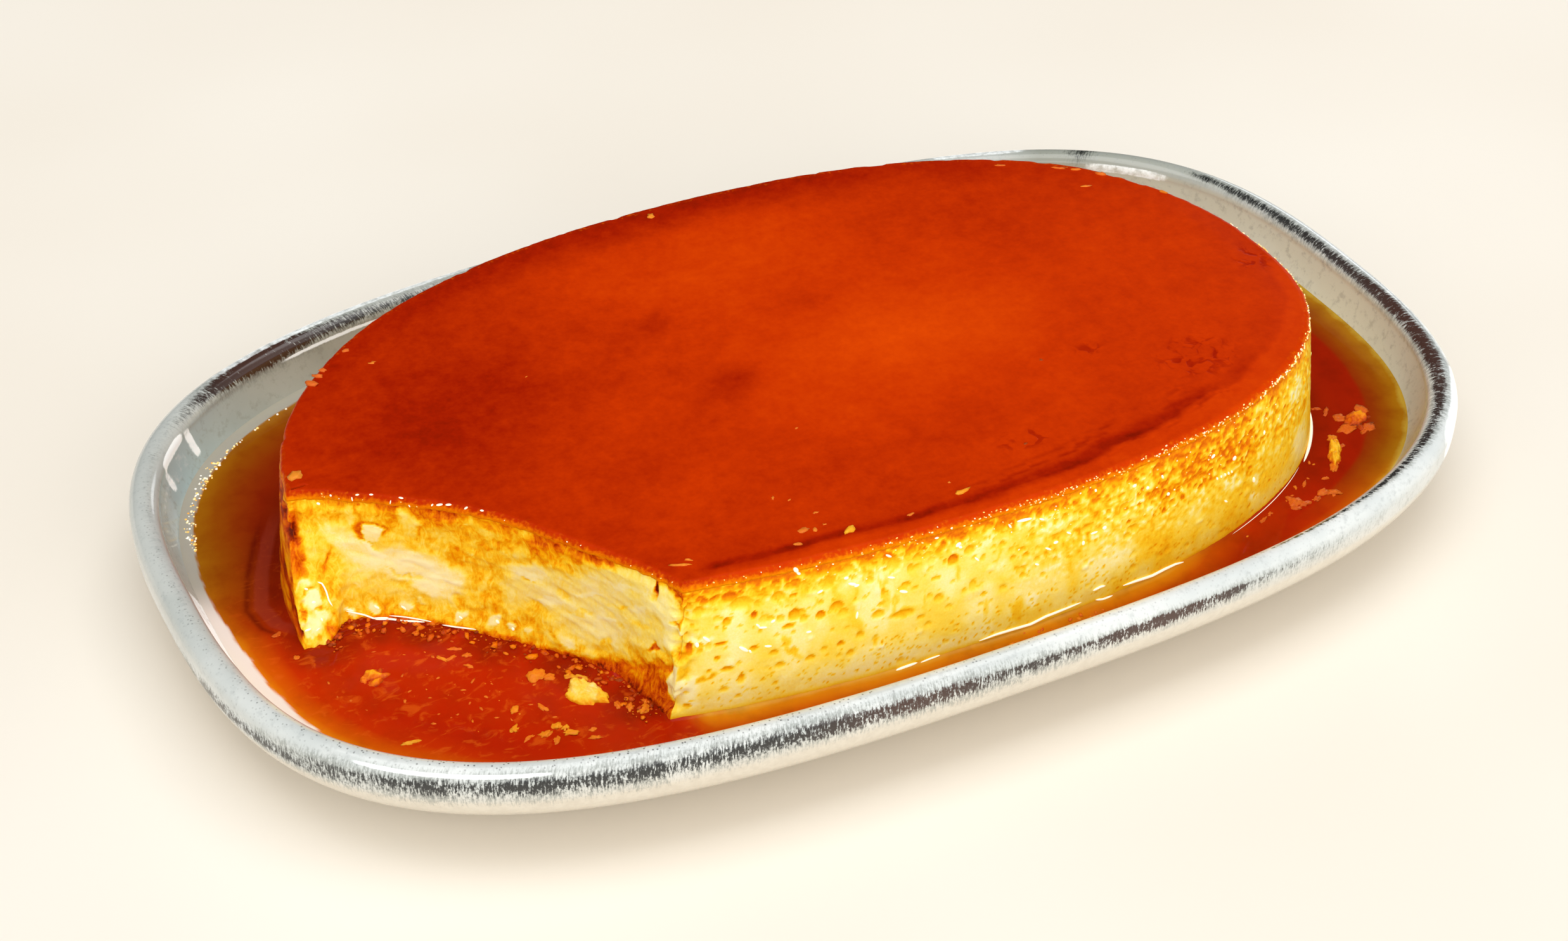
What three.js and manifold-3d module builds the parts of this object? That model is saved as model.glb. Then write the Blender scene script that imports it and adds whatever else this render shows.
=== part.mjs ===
// A creme caramel flan with one helping cut away, in its caramel, on an oval stoneware plate.
// Millimetres, +Z up. The origin is on the table under the middle of the plate, +X runs along the plate.
import * as THREE from 'three';
import { mergeVertices } from 'three/addons/utils/BufferGeometryUtils.js';
import Module from 'manifold-3d';

const wasm = await Module();
wasm.setup();

// ---- driving dimensions -------------------------------------------------------------------------

const GAP = 0.3;                    // clearance between pieces that touch

const PLATE_HALF_LENGTH = 129.4;    // to the widest part of the lip
const PLATE_HALF_WIDTH = 81;
const PLATE_HEIGHT = 22.3;
const PLATE_SQUARENESS = 2.62;      // 2 is an ellipse
const PLATE_SKEW = -0.013;          // the hand-pressed outline is a little off true
const PLATE_SHOULDER = -0.015;
const LIP_RADIUS = 2.7;             // rolled lip
const WELL_FLOOR = 6.5;             // height of the well's floor above the table
const WALL_RUN = 16.5;              // from the lip's outside to the edge of the flat floor
const WALL_STRAIGHT = 0.3;          // share of the wall that is straight, the rest is round
const OUTER_WALL_TURN = 16.8;       // the outside is upright down to here, then it curves under
const FOOT_INSET = 30;
const FOOT_WIDTH = 6;
const FOOT_HEIGHT = 2.5;
const FOOT_DRAFT = 1.5;

const CARAMEL_LEVEL = 13;

const FLAN_HALF_LENGTH = 100;       // at the top
const FLAN_HALF_WIDTH = 58.5;
const FLAN_TOP = 39.8;
const FLAN_CENTRE = [-3.4, -4];
const FLAN_TURN = THREE.MathUtils.degToRad(-2.3);
const FLAN_SQUARENESS = 2.24;
const FLAN_EGG = -0.022;            // the front bulges less than the back
const FLAN_END = -0.007;
const FLAN_SHOULDER = -0.007;
const FLAN_TAPER = 2.9;             // the base is this much wider all round than the top
const FLAN_SAG = 1.5;               // extra spread of the base beside the cut
const SAG_ANGLE = THREE.MathUtils.degToRad(-112);
const GLAZE_THICKNESS = 2;          // the caramel-soaked layer on top
const GLAZE_ROUND = 1.3;

// The cut, in plan, from its left corner to its right corner, along the top and along the foot.
const CUT_TOP = [[-102.1, -1.1], [-97.6, -4.3], [-93.2, -7.6], [-84.3, -13.9], [-74.6, -22.5],
  [-66.6, -33.4], [-59.8, -43.2], [-51.5, -53.2]];
const CUT_FOOT = [[-107.4, -11.8], [-101.2, -11.6], [-97.8, -7.8], [-89.2, -11.2], [-80.2, -18.8],
  [-70.4, -29.4], [-61, -42.6], [-56.6, -59.4]];
const CUT_SCOOP = 1.6;              // how far the face is hollowed half way up
const FOOT_EASE = 1.7;              // how low on the face its foot spreads

const PORE_CHANCE = 0.3;
const PORE_DEPTH = 0.9;
const CRAG_DEPTH = 1.7;
const CRAG_SIZE = 7;

// Broken custard lying in the caramel: plan position, half sizes, turn in degrees.
const CRUMBS = [
  { name: 'crumb_by_cut', at: [-66.9, -44.9], half: [4.4, 2.5, 3.9], turn: -56 },
  { name: 'crumb_left', at: [-98.6, -24.4], half: [3.4, 2.2, 3.5], turn: 8 },
  { name: 'crumb_right', at: [101.6, -40.2], half: [4.3, 2.9, 3.6], turn: 35 },
  { name: 'crumb_right_long', at: [90.9, -47.2], half: [4.6, 1.9, 3.6], turn: 52 },
];

const PLATE_SIDES = 68;
const SKIN_STEPS = 116;
const CUT_STEPS = 26;
const CUSTARD_ROWS = 10;

// ---- small tools --------------------------------------------------------------------------------

const clamp01 = (v) => Math.min(1, Math.max(0, v));
const mix = (a, b, t) => a + (b - a) * t;
const powSigned = (v, p) => Math.sign(v) * Math.abs(v) ** p;

// A repeatable number from 0 to 1 for a whole-number cell.
function hash(i, j, k) {
  const s = Math.sin(i * 127.1 + j * 311.7 + k * 74.7) * 43758.5453;
  return s - Math.floor(s);
}

// Smooth noise from 0 to 1.
function noise(x, y, z) {
  const cell = [Math.floor(x), Math.floor(y), Math.floor(z)];
  const ease = [x - cell[0], y - cell[1], z - cell[2]].map((f) => f * f * (3 - 2 * f));
  let sum = 0;
  for (let corner = 0; corner < 8; corner += 1) {
    const step = [corner & 1, (corner >> 1) & 1, (corner >> 2) & 1];
    const weight = step.reduce((w, s, axis) => w * (s ? ease[axis] : 1 - ease[axis]), 1);
    sum += weight * hash(cell[0] + step[0], cell[1] + step[1], cell[2] + step[2]);
  }
  return sum;
}

// A closed solid through rings of equal length, each anticlockwise from above, from the middle of
// the underside to the middle of the top.
function loft(rings) {
  const count = rings[0].length;
  const points = [];
  const faces = [];
  rings.forEach((ring) => points.push(...ring));
  const middle = (ring) => ring.reduce((m, p) => m.map((v, axis) => v + p[axis] / count), [0, 0, 0]);
  const first = points.push(middle(rings[0])) - 1;
  const last = points.push(middle(rings[rings.length - 1])) - 1;
  for (let i = 0; i < count; i += 1) {
    const next = (i + 1) % count;
    faces.push(first, next, i);
    for (let r = 0; r + 1 < rings.length; r += 1) {
      const low = r * count;
      const high = low + count;
      faces.push(low + i, low + next, high + next, low + i, high + next, high + i);
    }
    const rim = (rings.length - 1) * count;
    faces.push(last, rim + i, rim + next);
  }
  const geometry = new THREE.BufferGeometry();
  geometry.setAttribute('position', new THREE.Float32BufferAttribute(points.flat(), 3));
  geometry.setIndex(faces);
  return geometry;
}

function toManifold(geometry) {
  const merged = mergeVertices(geometry, 1e-5);
  return new wasm.Manifold(new wasm.Mesh({
    numProp: 3,
    vertProperties: new Float32Array(merged.attributes.position.array),
    triVerts: new Uint32Array(merged.index.array),
  }));
}

function toGeometry(solid) {
  const mesh = solid.getMesh();
  const geometry = new THREE.BufferGeometry();
  geometry.setAttribute('position', new THREE.BufferAttribute(new Float32Array(mesh.vertProperties), 3));
  geometry.setIndex(new THREE.BufferAttribute(new Uint32Array(mesh.triVerts), 1));
  return geometry;
}

// Moves each point of a ring outwards in plan.
function grown(ring, distance) {
  return ring.map((point, i) => {
    const before = ring[(i + ring.length - 1) % ring.length];
    const after = ring[(i + 1) % ring.length];
    const along = [after[0] - before[0], after[1] - before[1]];
    const length = Math.hypot(...along);
    return [point[0] + along[1] / length * distance, point[1] - along[0] / length * distance, point[2]];
  });
}

// ---- plate --------------------------------------------------------------------------------------

function plateRing(inset, z, sides = PLATE_SIDES) {
  const ring = [];
  for (let i = 0; i < sides; i += 1) {
    const turn = (i + 0.5) / sides * 2 * Math.PI;
    const reach = 1 + PLATE_SKEW * Math.sin(2 * turn) + PLATE_SHOULDER * Math.cos(4 * turn);
    const power = 2 / PLATE_SQUARENESS;
    ring.push([
      (PLATE_HALF_LENGTH - inset) * reach * powSigned(Math.cos(turn), power),
      (PLATE_HALF_WIDTH - inset) * reach * powSigned(Math.sin(turn), power),
      z,
    ]);
  }
  return ring;
}

// Inset and height of the inside of the wall, from the floor (0) to the lip (1).
function wallInside(share) {
  const top = PLATE_HEIGHT - LIP_RADIUS;
  const foot = 2 * LIP_RADIUS;
  const turn = share * Math.PI / 2;
  const round = 1 - Math.sin(turn);
  const straight = Math.cos(turn);
  return {
    inset: foot + (WALL_RUN - foot) * mix(round, straight, WALL_STRAIGHT),
    z: WELL_FLOOR + (top - WELL_FLOOR) * (1 - Math.cos(turn)),
  };
}

function plateGeometry() {
  const rings = [];
  const footInside = FOOT_INSET + FOOT_WIDTH + 2 * FOOT_DRAFT;
  rings.push(plateRing(footInside + 14, FOOT_HEIGHT));
  rings.push(plateRing(footInside, FOOT_HEIGHT));
  rings.push(plateRing(footInside - FOOT_DRAFT, 0));
  rings.push(plateRing(FOOT_INSET + FOOT_DRAFT, 0));
  const underSteps = 6;
  for (let i = 0; i <= underSteps; i += 1) {
    const turn = (1 - i / underSteps) * Math.PI / 2;
    rings.push(plateRing(FOOT_INSET * (1 - Math.cos(turn)),
      OUTER_WALL_TURN - (OUTER_WALL_TURN - FOOT_HEIGHT) * Math.sin(turn)));
  }
  const lipSteps = 6;
  const lipCentre = PLATE_HEIGHT - LIP_RADIUS;
  for (let i = 0; i < lipSteps; i += 1) {
    const turn = i / lipSteps * Math.PI;
    rings.push(plateRing(LIP_RADIUS * (1 - Math.cos(turn)), lipCentre + LIP_RADIUS * Math.sin(turn)));
  }
  const wallSteps = 7;
  for (let i = 0; i <= wallSteps; i += 1) {
    const { inset, z } = wallInside(1 - i / wallSteps);
    rings.push(plateRing(inset, z));
  }
  rings.push(plateRing(WALL_RUN + 22, WELL_FLOOR));
  return loft(rings);
}

// The space inside the well, up to a height, clear of the plate.
function wellSpace(top) {
  const rings = [plateRing(WALL_RUN + 22, WELL_FLOOR + GAP), plateRing(WALL_RUN + GAP, WELL_FLOOR + GAP)];
  const wallSteps = 8;
  for (let i = 1; i <= wallSteps; i += 1) {
    const { inset, z } = wallInside(i / wallSteps);
    const height = z + GAP;
    if (height < top - GAP) {
      rings.push(plateRing(inset + GAP, height));
    }
  }
  const share = Math.acos(clamp01(1 - (top - WELL_FLOOR) / (PLATE_HEIGHT - LIP_RADIUS - WELL_FLOOR)));
  rings.push(plateRing(wallInside(share / (Math.PI / 2)).inset + GAP, top));
  return toManifold(loft(rings));
}

// ---- flan ---------------------------------------------------------------------------------------

// A point of the moulded side, at a turn round the flan, with its half axes grown.
function skinPoint(turn, grow) {
  const reach = 1 + FLAN_EGG * Math.sin(3 * turn) + FLAN_END * Math.cos(3 * turn)
    + FLAN_SHOULDER * Math.cos(4 * turn);
  const power = 2 / FLAN_SQUARENESS;
  const x = (FLAN_HALF_LENGTH + grow) * reach * powSigned(Math.cos(turn), power);
  const y = (FLAN_HALF_WIDTH + grow) * reach * powSigned(Math.sin(turn), power);
  return [
    FLAN_CENTRE[0] + x * Math.cos(FLAN_TURN) - y * Math.sin(FLAN_TURN),
    FLAN_CENTRE[1] + x * Math.sin(FLAN_TURN) + y * Math.cos(FLAN_TURN),
  ];
}

// The turn at which the moulded side passes nearest a point in plan.
function turnNear(point, grow) {
  let best = 0;
  let nearest = Infinity;
  const steps = 1440;
  for (let i = 0; i < steps; i += 1) {
    const turn = i / steps * 2 * Math.PI;
    const skin = skinPoint(turn, grow);
    const distance = Math.hypot(skin[0] - point[0], skin[1] - point[1]);
    if (distance < nearest) {
      nearest = distance;
      best = turn;
    }
  }
  return best;
}

const LEFT_TURN = { top: turnNear(CUT_TOP[0], 0), foot: turnNear(CUT_FOOT[0], FLAN_TAPER) };
const RIGHT_TURN = {
  top: turnNear(CUT_TOP[CUT_TOP.length - 1], 0) - 2 * Math.PI,
  foot: turnNear(CUT_FOOT[CUT_FOOT.length - 1], FLAN_TAPER) - 2 * Math.PI,
};

// The flan's outline at one height: round the moulded side, then back along the cut.
function flanRing(z) {
  const rise = clamp01((z - CARAMEL_LEVEL) / (FLAN_TOP - CARAMEL_LEVEL));
  const spread = (1 - rise) ** FOOT_EASE;
  const left = mix(LEFT_TURN.top, LEFT_TURN.foot, spread);
  const right = mix(RIGHT_TURN.top, RIGHT_TURN.foot, spread);
  const side = (turn) => {
    const sag = FLAN_SAG * Math.max(0, Math.cos(turn - SAG_ANGLE)) ** 3;
    return skinPoint(turn, (FLAN_TAPER + sag) * (1 - rise));
  };
  const ring = [];
  for (let i = 0; i < SKIN_STEPS; i += 1) {
    const turn = mix(right, left, i / SKIN_STEPS);
    ring.push([...side(turn), z]);
  }
  const scoop = CUT_SCOOP * Math.sin(Math.PI * rise);
  const inward = new THREE.Vector3(0.72, 0.69, 0);
  const path = CUT_TOP.map((top, i) => {
    const foot = CUT_FOOT[i];
    return new THREE.Vector3(mix(top[0], foot[0], spread), mix(top[1], foot[1], spread), 0)
      .addScaledVector(inward, scoop);
  });
  path[0].set(...side(left), 0);
  path[path.length - 1].set(...side(right), 0);
  new THREE.CatmullRomCurve3(path).getPoints(CUT_STEPS).slice(0, -1)
    .forEach((p) => ring.push([p.x, p.y, z]));
  return ring;
}

// Pores in the moulded side and crags on the cut, always inwards from the outline.
function roughened(ring, row, strength) {
  const inner = grown(ring, -1);
  return ring.map((point, i) => {
    const [x, y, z] = point;
    let depth;
    if (i < SKIN_STEPS) {
      const pore = hash(i, row, 3) < PORE_CHANCE ? hash(i, row, 5) : 0;
      depth = i < 2 ? 0 : PORE_DEPTH * pore;
    } else {
      const along = (i - SKIN_STEPS) / CUT_STEPS;
      depth = CRAG_DEPTH * Math.sin(Math.PI * along) ** 0.4
        * noise(x / CRAG_SIZE + 40, y / CRAG_SIZE + 40, z / CRAG_SIZE * 1.6);
    }
    const shift = depth * strength;
    return [x + (inner[i][0] - x) * shift, y + (inner[i][1] - y) * shift, z];
  });
}

// A ring drawn towards the flan's middle.
function shrunk(ring, share, z) {
  return ring.map(([x, y]) => [mix(FLAN_CENTRE[0], x, share), mix(FLAN_CENTRE[1], y, share), z(x, y)]);
}

function custardGeometry() {
  const base = WELL_FLOOR + GAP;
  const top = FLAN_TOP - GLAZE_THICKNESS - GAP;
  const rings = [];
  for (let row = 0; row <= CUSTARD_ROWS; row += 1) {
    const z = mix(base, top, row / CUSTARD_ROWS);
    const atEdge = row === 0 || row === CUSTARD_ROWS;
    rings.push(roughened(flanRing(z), row, atEdge ? 0 : 1));
  }
  const solid = toManifold(loft(rings));
  return toGeometry(solid.intersect(wellSpace(FLAN_TOP)));
}

function glazeGeometry() {
  const low = FLAN_TOP - GLAZE_THICKNESS;
  const wave = (x, y) => FLAN_TOP - 0.35 * noise(x / 24 + 9, y / 24 + 9, 2);
  const rings = [
    flanRing(low),
    flanRing(FLAN_TOP - GLAZE_ROUND),
    grown(flanRing(FLAN_TOP - GLAZE_ROUND * 0.3), -GLAZE_ROUND * 0.3),
    grown(flanRing(FLAN_TOP), -GLAZE_ROUND),
  ];
  const edge = rings[rings.length - 1];
  rings.push(shrunk(edge, 0.8, wave), shrunk(edge, 0.5, wave), shrunk(edge, 0.2, wave));
  return loft(rings);
}

// ---- caramel and crumbs -------------------------------------------------------------------------

// A broken lump that stands on the floor of the well and shows above the caramel.
function crumbGeometry(crumb, margin) {
  const geometry = mergeVertices(new THREE.IcosahedronGeometry(1, 1).deleteAttribute('normal')
    .deleteAttribute('uv'), 1e-4);
  const position = geometry.attributes.position;
  const point = new THREE.Vector3();
  for (let i = 0; i < position.count; i += 1) {
    point.fromBufferAttribute(position, i);
    const lump = 0.8 + 0.2 * noise(point.x * 2 + crumb.at[0], point.y * 2 + 30, point.z * 2 + 30);
    point.multiplyScalar(lump);
    position.setXYZ(i, point.x * (crumb.half[0] + margin), point.y * (crumb.half[1] + margin),
      point.z * (crumb.half[2] + margin));
  }
  geometry.rotateZ(THREE.MathUtils.degToRad(crumb.turn));
  geometry.translate(crumb.at[0], crumb.at[1], WELL_FLOOR + GAP + crumb.half[2]);
  return geometry;
}

function poolGeometry() {
  const hollowRings = [WELL_FLOOR, CARAMEL_LEVEL, CARAMEL_LEVEL + 1]
    .map((z) => grown(flanRing(z), GAP));
  let pool = wellSpace(CARAMEL_LEVEL).subtract(toManifold(loft(hollowRings)));
  CRUMBS.forEach((crumb) => {
    pool = pool.subtract(toManifold(crumbGeometry(crumb, GAP)));
  });
  return toGeometry(pool);
}

// ---- the part -----------------------------------------------------------------------------------

const finishes = {
  stoneware: { color: 0xb9b7b1, roughness: 0.25, metalness: 0 },
  caramel: { color: 0xa83208, roughness: 0.08, metalness: 0 },
  glaze: { color: 0xb53a08, roughness: 0.12, metalness: 0 },
  custard: { color: 0xf2cf6e, roughness: 0.35, metalness: 0 },
};

const part = new THREE.Group();

function addPiece(name, geometry, finish) {
  geometry.computeVertexNormals();
  const piece = new THREE.Mesh(geometry, new THREE.MeshStandardMaterial(finish));
  piece.name = name;
  part.add(piece);
}

addPiece('plate', plateGeometry(), finishes.stoneware);
addPiece('caramel_pool', poolGeometry(), finishes.caramel);
addPiece('custard', custardGeometry(), finishes.custard);
addPiece('caramel_top', glazeGeometry(), finishes.glaze);
CRUMBS.forEach((crumb) => addPiece(crumb.name, crumbGeometry(crumb, 0), finishes.custard));

export default part;
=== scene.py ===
"""A creme caramel flan with one helping cut away, in its caramel, on an oval stoneware plate.

Sizes are millimetres until a mesh is made. +X runs along the plate and +Z is up.
"""
import math

import bmesh
import bpy
import numpy as np
from mathutils import Matrix, Vector


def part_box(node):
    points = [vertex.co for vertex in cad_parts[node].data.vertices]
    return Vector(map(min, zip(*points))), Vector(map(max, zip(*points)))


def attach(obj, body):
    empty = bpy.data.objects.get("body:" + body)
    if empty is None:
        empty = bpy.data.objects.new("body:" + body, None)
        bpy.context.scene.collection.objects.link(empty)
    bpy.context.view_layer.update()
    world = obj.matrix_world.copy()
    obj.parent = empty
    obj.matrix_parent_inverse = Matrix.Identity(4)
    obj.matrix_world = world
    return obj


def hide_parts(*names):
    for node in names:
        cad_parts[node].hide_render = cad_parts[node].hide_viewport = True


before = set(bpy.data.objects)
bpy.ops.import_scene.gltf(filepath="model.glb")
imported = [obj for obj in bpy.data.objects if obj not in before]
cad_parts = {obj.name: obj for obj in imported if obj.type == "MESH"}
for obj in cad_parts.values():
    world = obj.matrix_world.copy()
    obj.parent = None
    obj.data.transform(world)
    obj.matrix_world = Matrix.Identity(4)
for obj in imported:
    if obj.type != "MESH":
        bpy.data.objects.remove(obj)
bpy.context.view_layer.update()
MM = 0.001

# ---- sizes shared with the part -----------------------------------------------------------------

PLATE_HALF_LENGTH = 129.4
PLATE_HALF_WIDTH = 81
PLATE_HEIGHT = 22.3
PLATE_SQUARENESS = 2.62
PLATE_SKEW = -0.013
PLATE_SHOULDER = -0.015
LIP_RADIUS = 2.7
WELL_FLOOR = 6.5
WALL_RUN = 16.5
WALL_STRAIGHT = 0.3
OUTER_WALL_TURN = 16.8
FOOT_INSET = 30
FOOT_WIDTH = 6
FOOT_HEIGHT = 2.5
FOOT_DRAFT = 1.5

CARAMEL_LEVEL = 13

FLAN_HALF_LENGTH = 100
FLAN_HALF_WIDTH = 58.5
FLAN_TOP = 39.8
FLAN_CENTRE = np.array([-3.4, -4])
FLAN_TURN = math.radians(-2.3)
FLAN_SQUARENESS = 2.24
FLAN_EGG = -0.022
FLAN_END = -0.007
FLAN_SHOULDER = -0.007
FLAN_TAPER = 2.9
FLAN_SAG = 1.5
SAG_ANGLE = math.radians(-112)
GLAZE_THICKNESS = 2
GLAZE_ROUND = 1.3
EDGE_DROOP = 0.25                   # the top dips a little towards its edge

CUT_TOP = np.array([[-102.1, -1.1], [-97.6, -4.3], [-93.2, -7.6], [-84.3, -13.9], [-74.6, -22.5],
                    [-66.6, -33.4], [-59.8, -43.2], [-51.5, -53.2]])
CUT_FOOT = np.array([[-107.4, -11.8], [-101.2, -11.6], [-97.8, -7.8], [-89.2, -11.2],
                     [-80.2, -18.8], [-70.4, -29.4], [-61, -42.6], [-56.6, -59.4]])
CUT_SCOOP = 1.6
CUT_INWARD = np.array([0.72, 0.69])
FOOT_EASE = 1.7

# ---- sizes that the looks need -------------------------------------------------------------------

PLATE_STRETCH = 1.6                 # the plate's length over its width, which bearings leave out
PLATE_COLUMNS = 960
POOL_COLUMNS = 1200
LINE_POINTS = 2400                  # points on a fine line that others are measured against
# Spacing of the columns in front, at the back and along the cut.
CUSTARD_COLUMNS = (0.36, 1.6, 0.21)
GLAZE_COLUMNS = (0.5, 1.0, 0.4)
CUSTARD_ROWS = 0.33
CUSTARD_BASE = 6.8
RELIEF_LOW = 9.5                    # the custard's relief grows in between these two heights
RELIEF_FULL = 12.4
CORNER_WINDOW = 13                  # columns over which the flan's corners are eased
MEASURED_HEIGHT = 26.0              # where lengths along the flan's sides are taken
SKIN_LENGTH = 446
CUT_LENGTH = 77.6

# ---- small tools --------------------------------------------------------------------------------


def smooth(low, high, value):
    """0 below low, 1 above high, eased between them."""
    share = np.clip((value - low) / (high - low), 0, 1)
    return share * share * (3 - 2 * share)


def held(low, full, ebb, gone, value):
    """0 below low and above gone, 1 from full to ebb, eased between them."""
    return smooth(low, full, value) * (1 - smooth(ebb, gone, value))


def hump(value, centre, width):
    return np.exp(-((value - centre) / width) ** 2)


def mix(a, b, share):
    return a + (b - a) * share


def signed_power(value, power):
    return np.sign(value) * np.abs(value) ** power


def read_off(table, place):
    """The value at a place, straight between the places that a table gives."""
    return np.interp(place, *np.array(table).T)


def cell_value(cell, seed):
    """A repeatable number from 0 to 1 for each whole-number cell."""
    n = cell[..., 0] * 374761393 + cell[..., 1] * 668265263 + cell[..., 2] * 2147483629
    n = n + seed * 1442695041
    n = (n ^ (n >> 13)) * 1274126177
    return ((n ^ (n >> 16)) & 0xFFFFFF) / 0xFFFFFF


def noise(places, size, seed, octaves=1):
    """Smooth noise from 0 to 1 whose lumps are about size across; size may differ for each axis."""
    places = np.asarray(places, float) / np.asarray(size, float)
    total = 0
    weight = 0
    for octave in range(octaves):
        scaled = places * 2 ** octave
        cell = np.floor(scaled).astype(np.int64)
        part = scaled - cell
        ease = part * part * (3 - 2 * part)
        value = 0
        for corner in range(8):
            step = np.array([corner & 1, corner >> 1 & 1, corner >> 2 & 1])
            share = np.where(step, ease, 1 - ease).prod(axis=-1)
            value = value + share * cell_value(cell + step, seed + octave)
        total = total + value / 2 ** octave
        weight = weight + 1 / 2 ** octave
    return total / weight


def run_length(line):
    """How far along an open line each of its points lies."""
    return np.append(0, np.cumsum(np.linalg.norm(np.diff(line, axis=0), axis=1)))


def plate_bearing(x, y):
    """Bearing in degrees from the middle of the plate, as if the plate were round."""
    return np.degrees(np.arctan2(y * PLATE_STRETCH, x))


def raised(ring, z):
    """A ring in plan, lifted to its height."""
    return np.column_stack([ring, np.broadcast_to(z, len(ring))])


def side_places(along, heights, layer=0.0):
    """Places on a side for noise: length along it, height, and which layer of the noise."""
    return np.stack(np.broadcast_arrays(along, heights[:, None], layer), axis=-1)


def eased_ring(ring, window):
    """A closed line in plan with its corners rounded by averaging over a window of points."""
    weights = np.hanning(window + 2)[1:-1]
    weights = weights / weights.sum()
    half = window // 2
    padded = np.concatenate([ring[-half:], ring, ring[:half]])
    return np.stack([np.convolve(padded[:, axis], weights, "valid") for axis in (0, 1)], axis=1)


def ring_normals(ring, window=1):
    """The outward direction in plan at each point of an anticlockwise ring, eased over corners."""
    along = np.roll(ring[:, :2], -1, axis=0) - np.roll(ring[:, :2], 1, axis=0)
    along = along / np.maximum(np.linalg.norm(along, axis=1, keepdims=True), 1e-9)
    if window > 1:
        along = eased_ring(along, window)
    return np.stack([along[:, 1], -along[:, 0]], axis=1)


def painted(value, across, up, dabs):
    """Lays soft-edged dabs over a field: place, height, half sizes, tilt, new value, softness."""
    for place, height, wide, tall, tilt, level, soft in dabs:
        angle = math.radians(tilt)
        run = (across - place) * math.cos(angle) + (up - height) * math.sin(angle)
        rise = (up - height) * math.cos(angle) - (across - place) * math.sin(angle)
        away = np.hypot(run / wide, rise / tall)
        value = mix(value, level, smooth(1 + soft, 1 - soft, away))
    return value


def spun(places, cosine, sine):
    """Places turned in plan, or about their third axis where they have one."""
    first, second, *rest = np.moveaxis(places, -1, 0)
    return np.stack([first * cosine - second * sine, first * sine + second * cosine, *rest],
                    axis=-1)


def joined(parts):
    """One set of points, triangles and values from many small ones."""
    points = []
    faces = []
    values = []
    count = 0
    for part_points, part_faces, value in parts:
        points.append(part_points)
        faces.append(part_faces + count)
        values.append(np.broadcast_to(value, len(part_points)))
        count += len(part_points)
    return np.concatenate(points), np.concatenate(faces).tolist(), np.concatenate(values)


def lump_mesh(detail):
    """Points on a unit ball, and the ball's triangles."""
    mesh = bmesh.new()
    bmesh.ops.create_icosphere(mesh, subdivisions=detail, radius=1)
    points = np.array([v.co for v in mesh.verts])
    faces = np.array([[v.index for v in face.verts] for face in mesh.faces])
    mesh.free()
    return points, faces


def add_mesh(name, points, faces, finish, values):
    """A mesh object from points in millimetres, with its finish and its named values."""
    mesh = bpy.data.meshes.new(name)
    mesh.from_pydata((np.asarray(points) * MM).tolist(), [], faces)
    mesh.update()
    mesh.shade_smooth()
    for key, value in values.items():
        value = np.ascontiguousarray(value, dtype=np.float32)
        kind = "FLOAT_VECTOR" if value.ndim == 2 else "FLOAT"
        layer = mesh.attributes.new(key, kind, "POINT")
        layer.data.foreach_set("vector" if value.ndim == 2 else "value", value.ravel())
    piece = bpy.data.objects.new(name, mesh)
    bpy.context.scene.collection.objects.link(piece)
    mesh.materials.append(finish)
    return piece


def add_piece(name, points, faces, finish, slot, stands_for=(), **values):
    """A mesh that belongs to the part, hiding the solids that it stands for; its slot is not used."""
    piece = add_mesh(name, points, faces, finish, values)
    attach(piece, "root")
    if stands_for:
        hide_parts(*stands_for)
    return piece


def loft_faces(rows, count):
    """Faces of a closed solid through rings of equal length, from the lowest ring to the last."""
    here = np.arange(count)
    after = (here + 1) % count
    low = np.arange(rows - 1)[:, None] * count
    high = low + count
    quads = np.stack([low + here, low + after, high + after, high + here], axis=-1)
    last = (rows - 1) * count + here
    return quads.reshape(-1, 4).tolist() + [here[::-1].tolist(), last.tolist()]


# ---- shader maths -------------------------------------------------------------------------------


class Value:
    """A socket of a finish's node tree, written in plain sums."""

    def __init__(self, finish, socket):
        self.finish = finish
        self.socket = socket

    def maths(self, operation, *inputs):
        return self.finish.node("ShaderNodeMath", {"operation": operation}, *inputs)

    def __add__(self, other):
        return self.maths("ADD", self, other)

    def __sub__(self, other):
        return self.maths("SUBTRACT", self, other)

    def __rsub__(self, other):
        return self.maths("SUBTRACT", other, self)

    def __mul__(self, other):
        return self.maths("MULTIPLY", self, other)

    def __truediv__(self, other):
        return self.maths("DIVIDE", self, other)

    __radd__ = __add__
    __rmul__ = __mul__

    def between(self, low, high):
        """0 at low, 1 at high, eased between them."""
        settings = {"interpolation_type": "SMOOTHSTEP"}
        return self.finish.node("ShaderNodeMapRange", settings, self, low, high)


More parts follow.
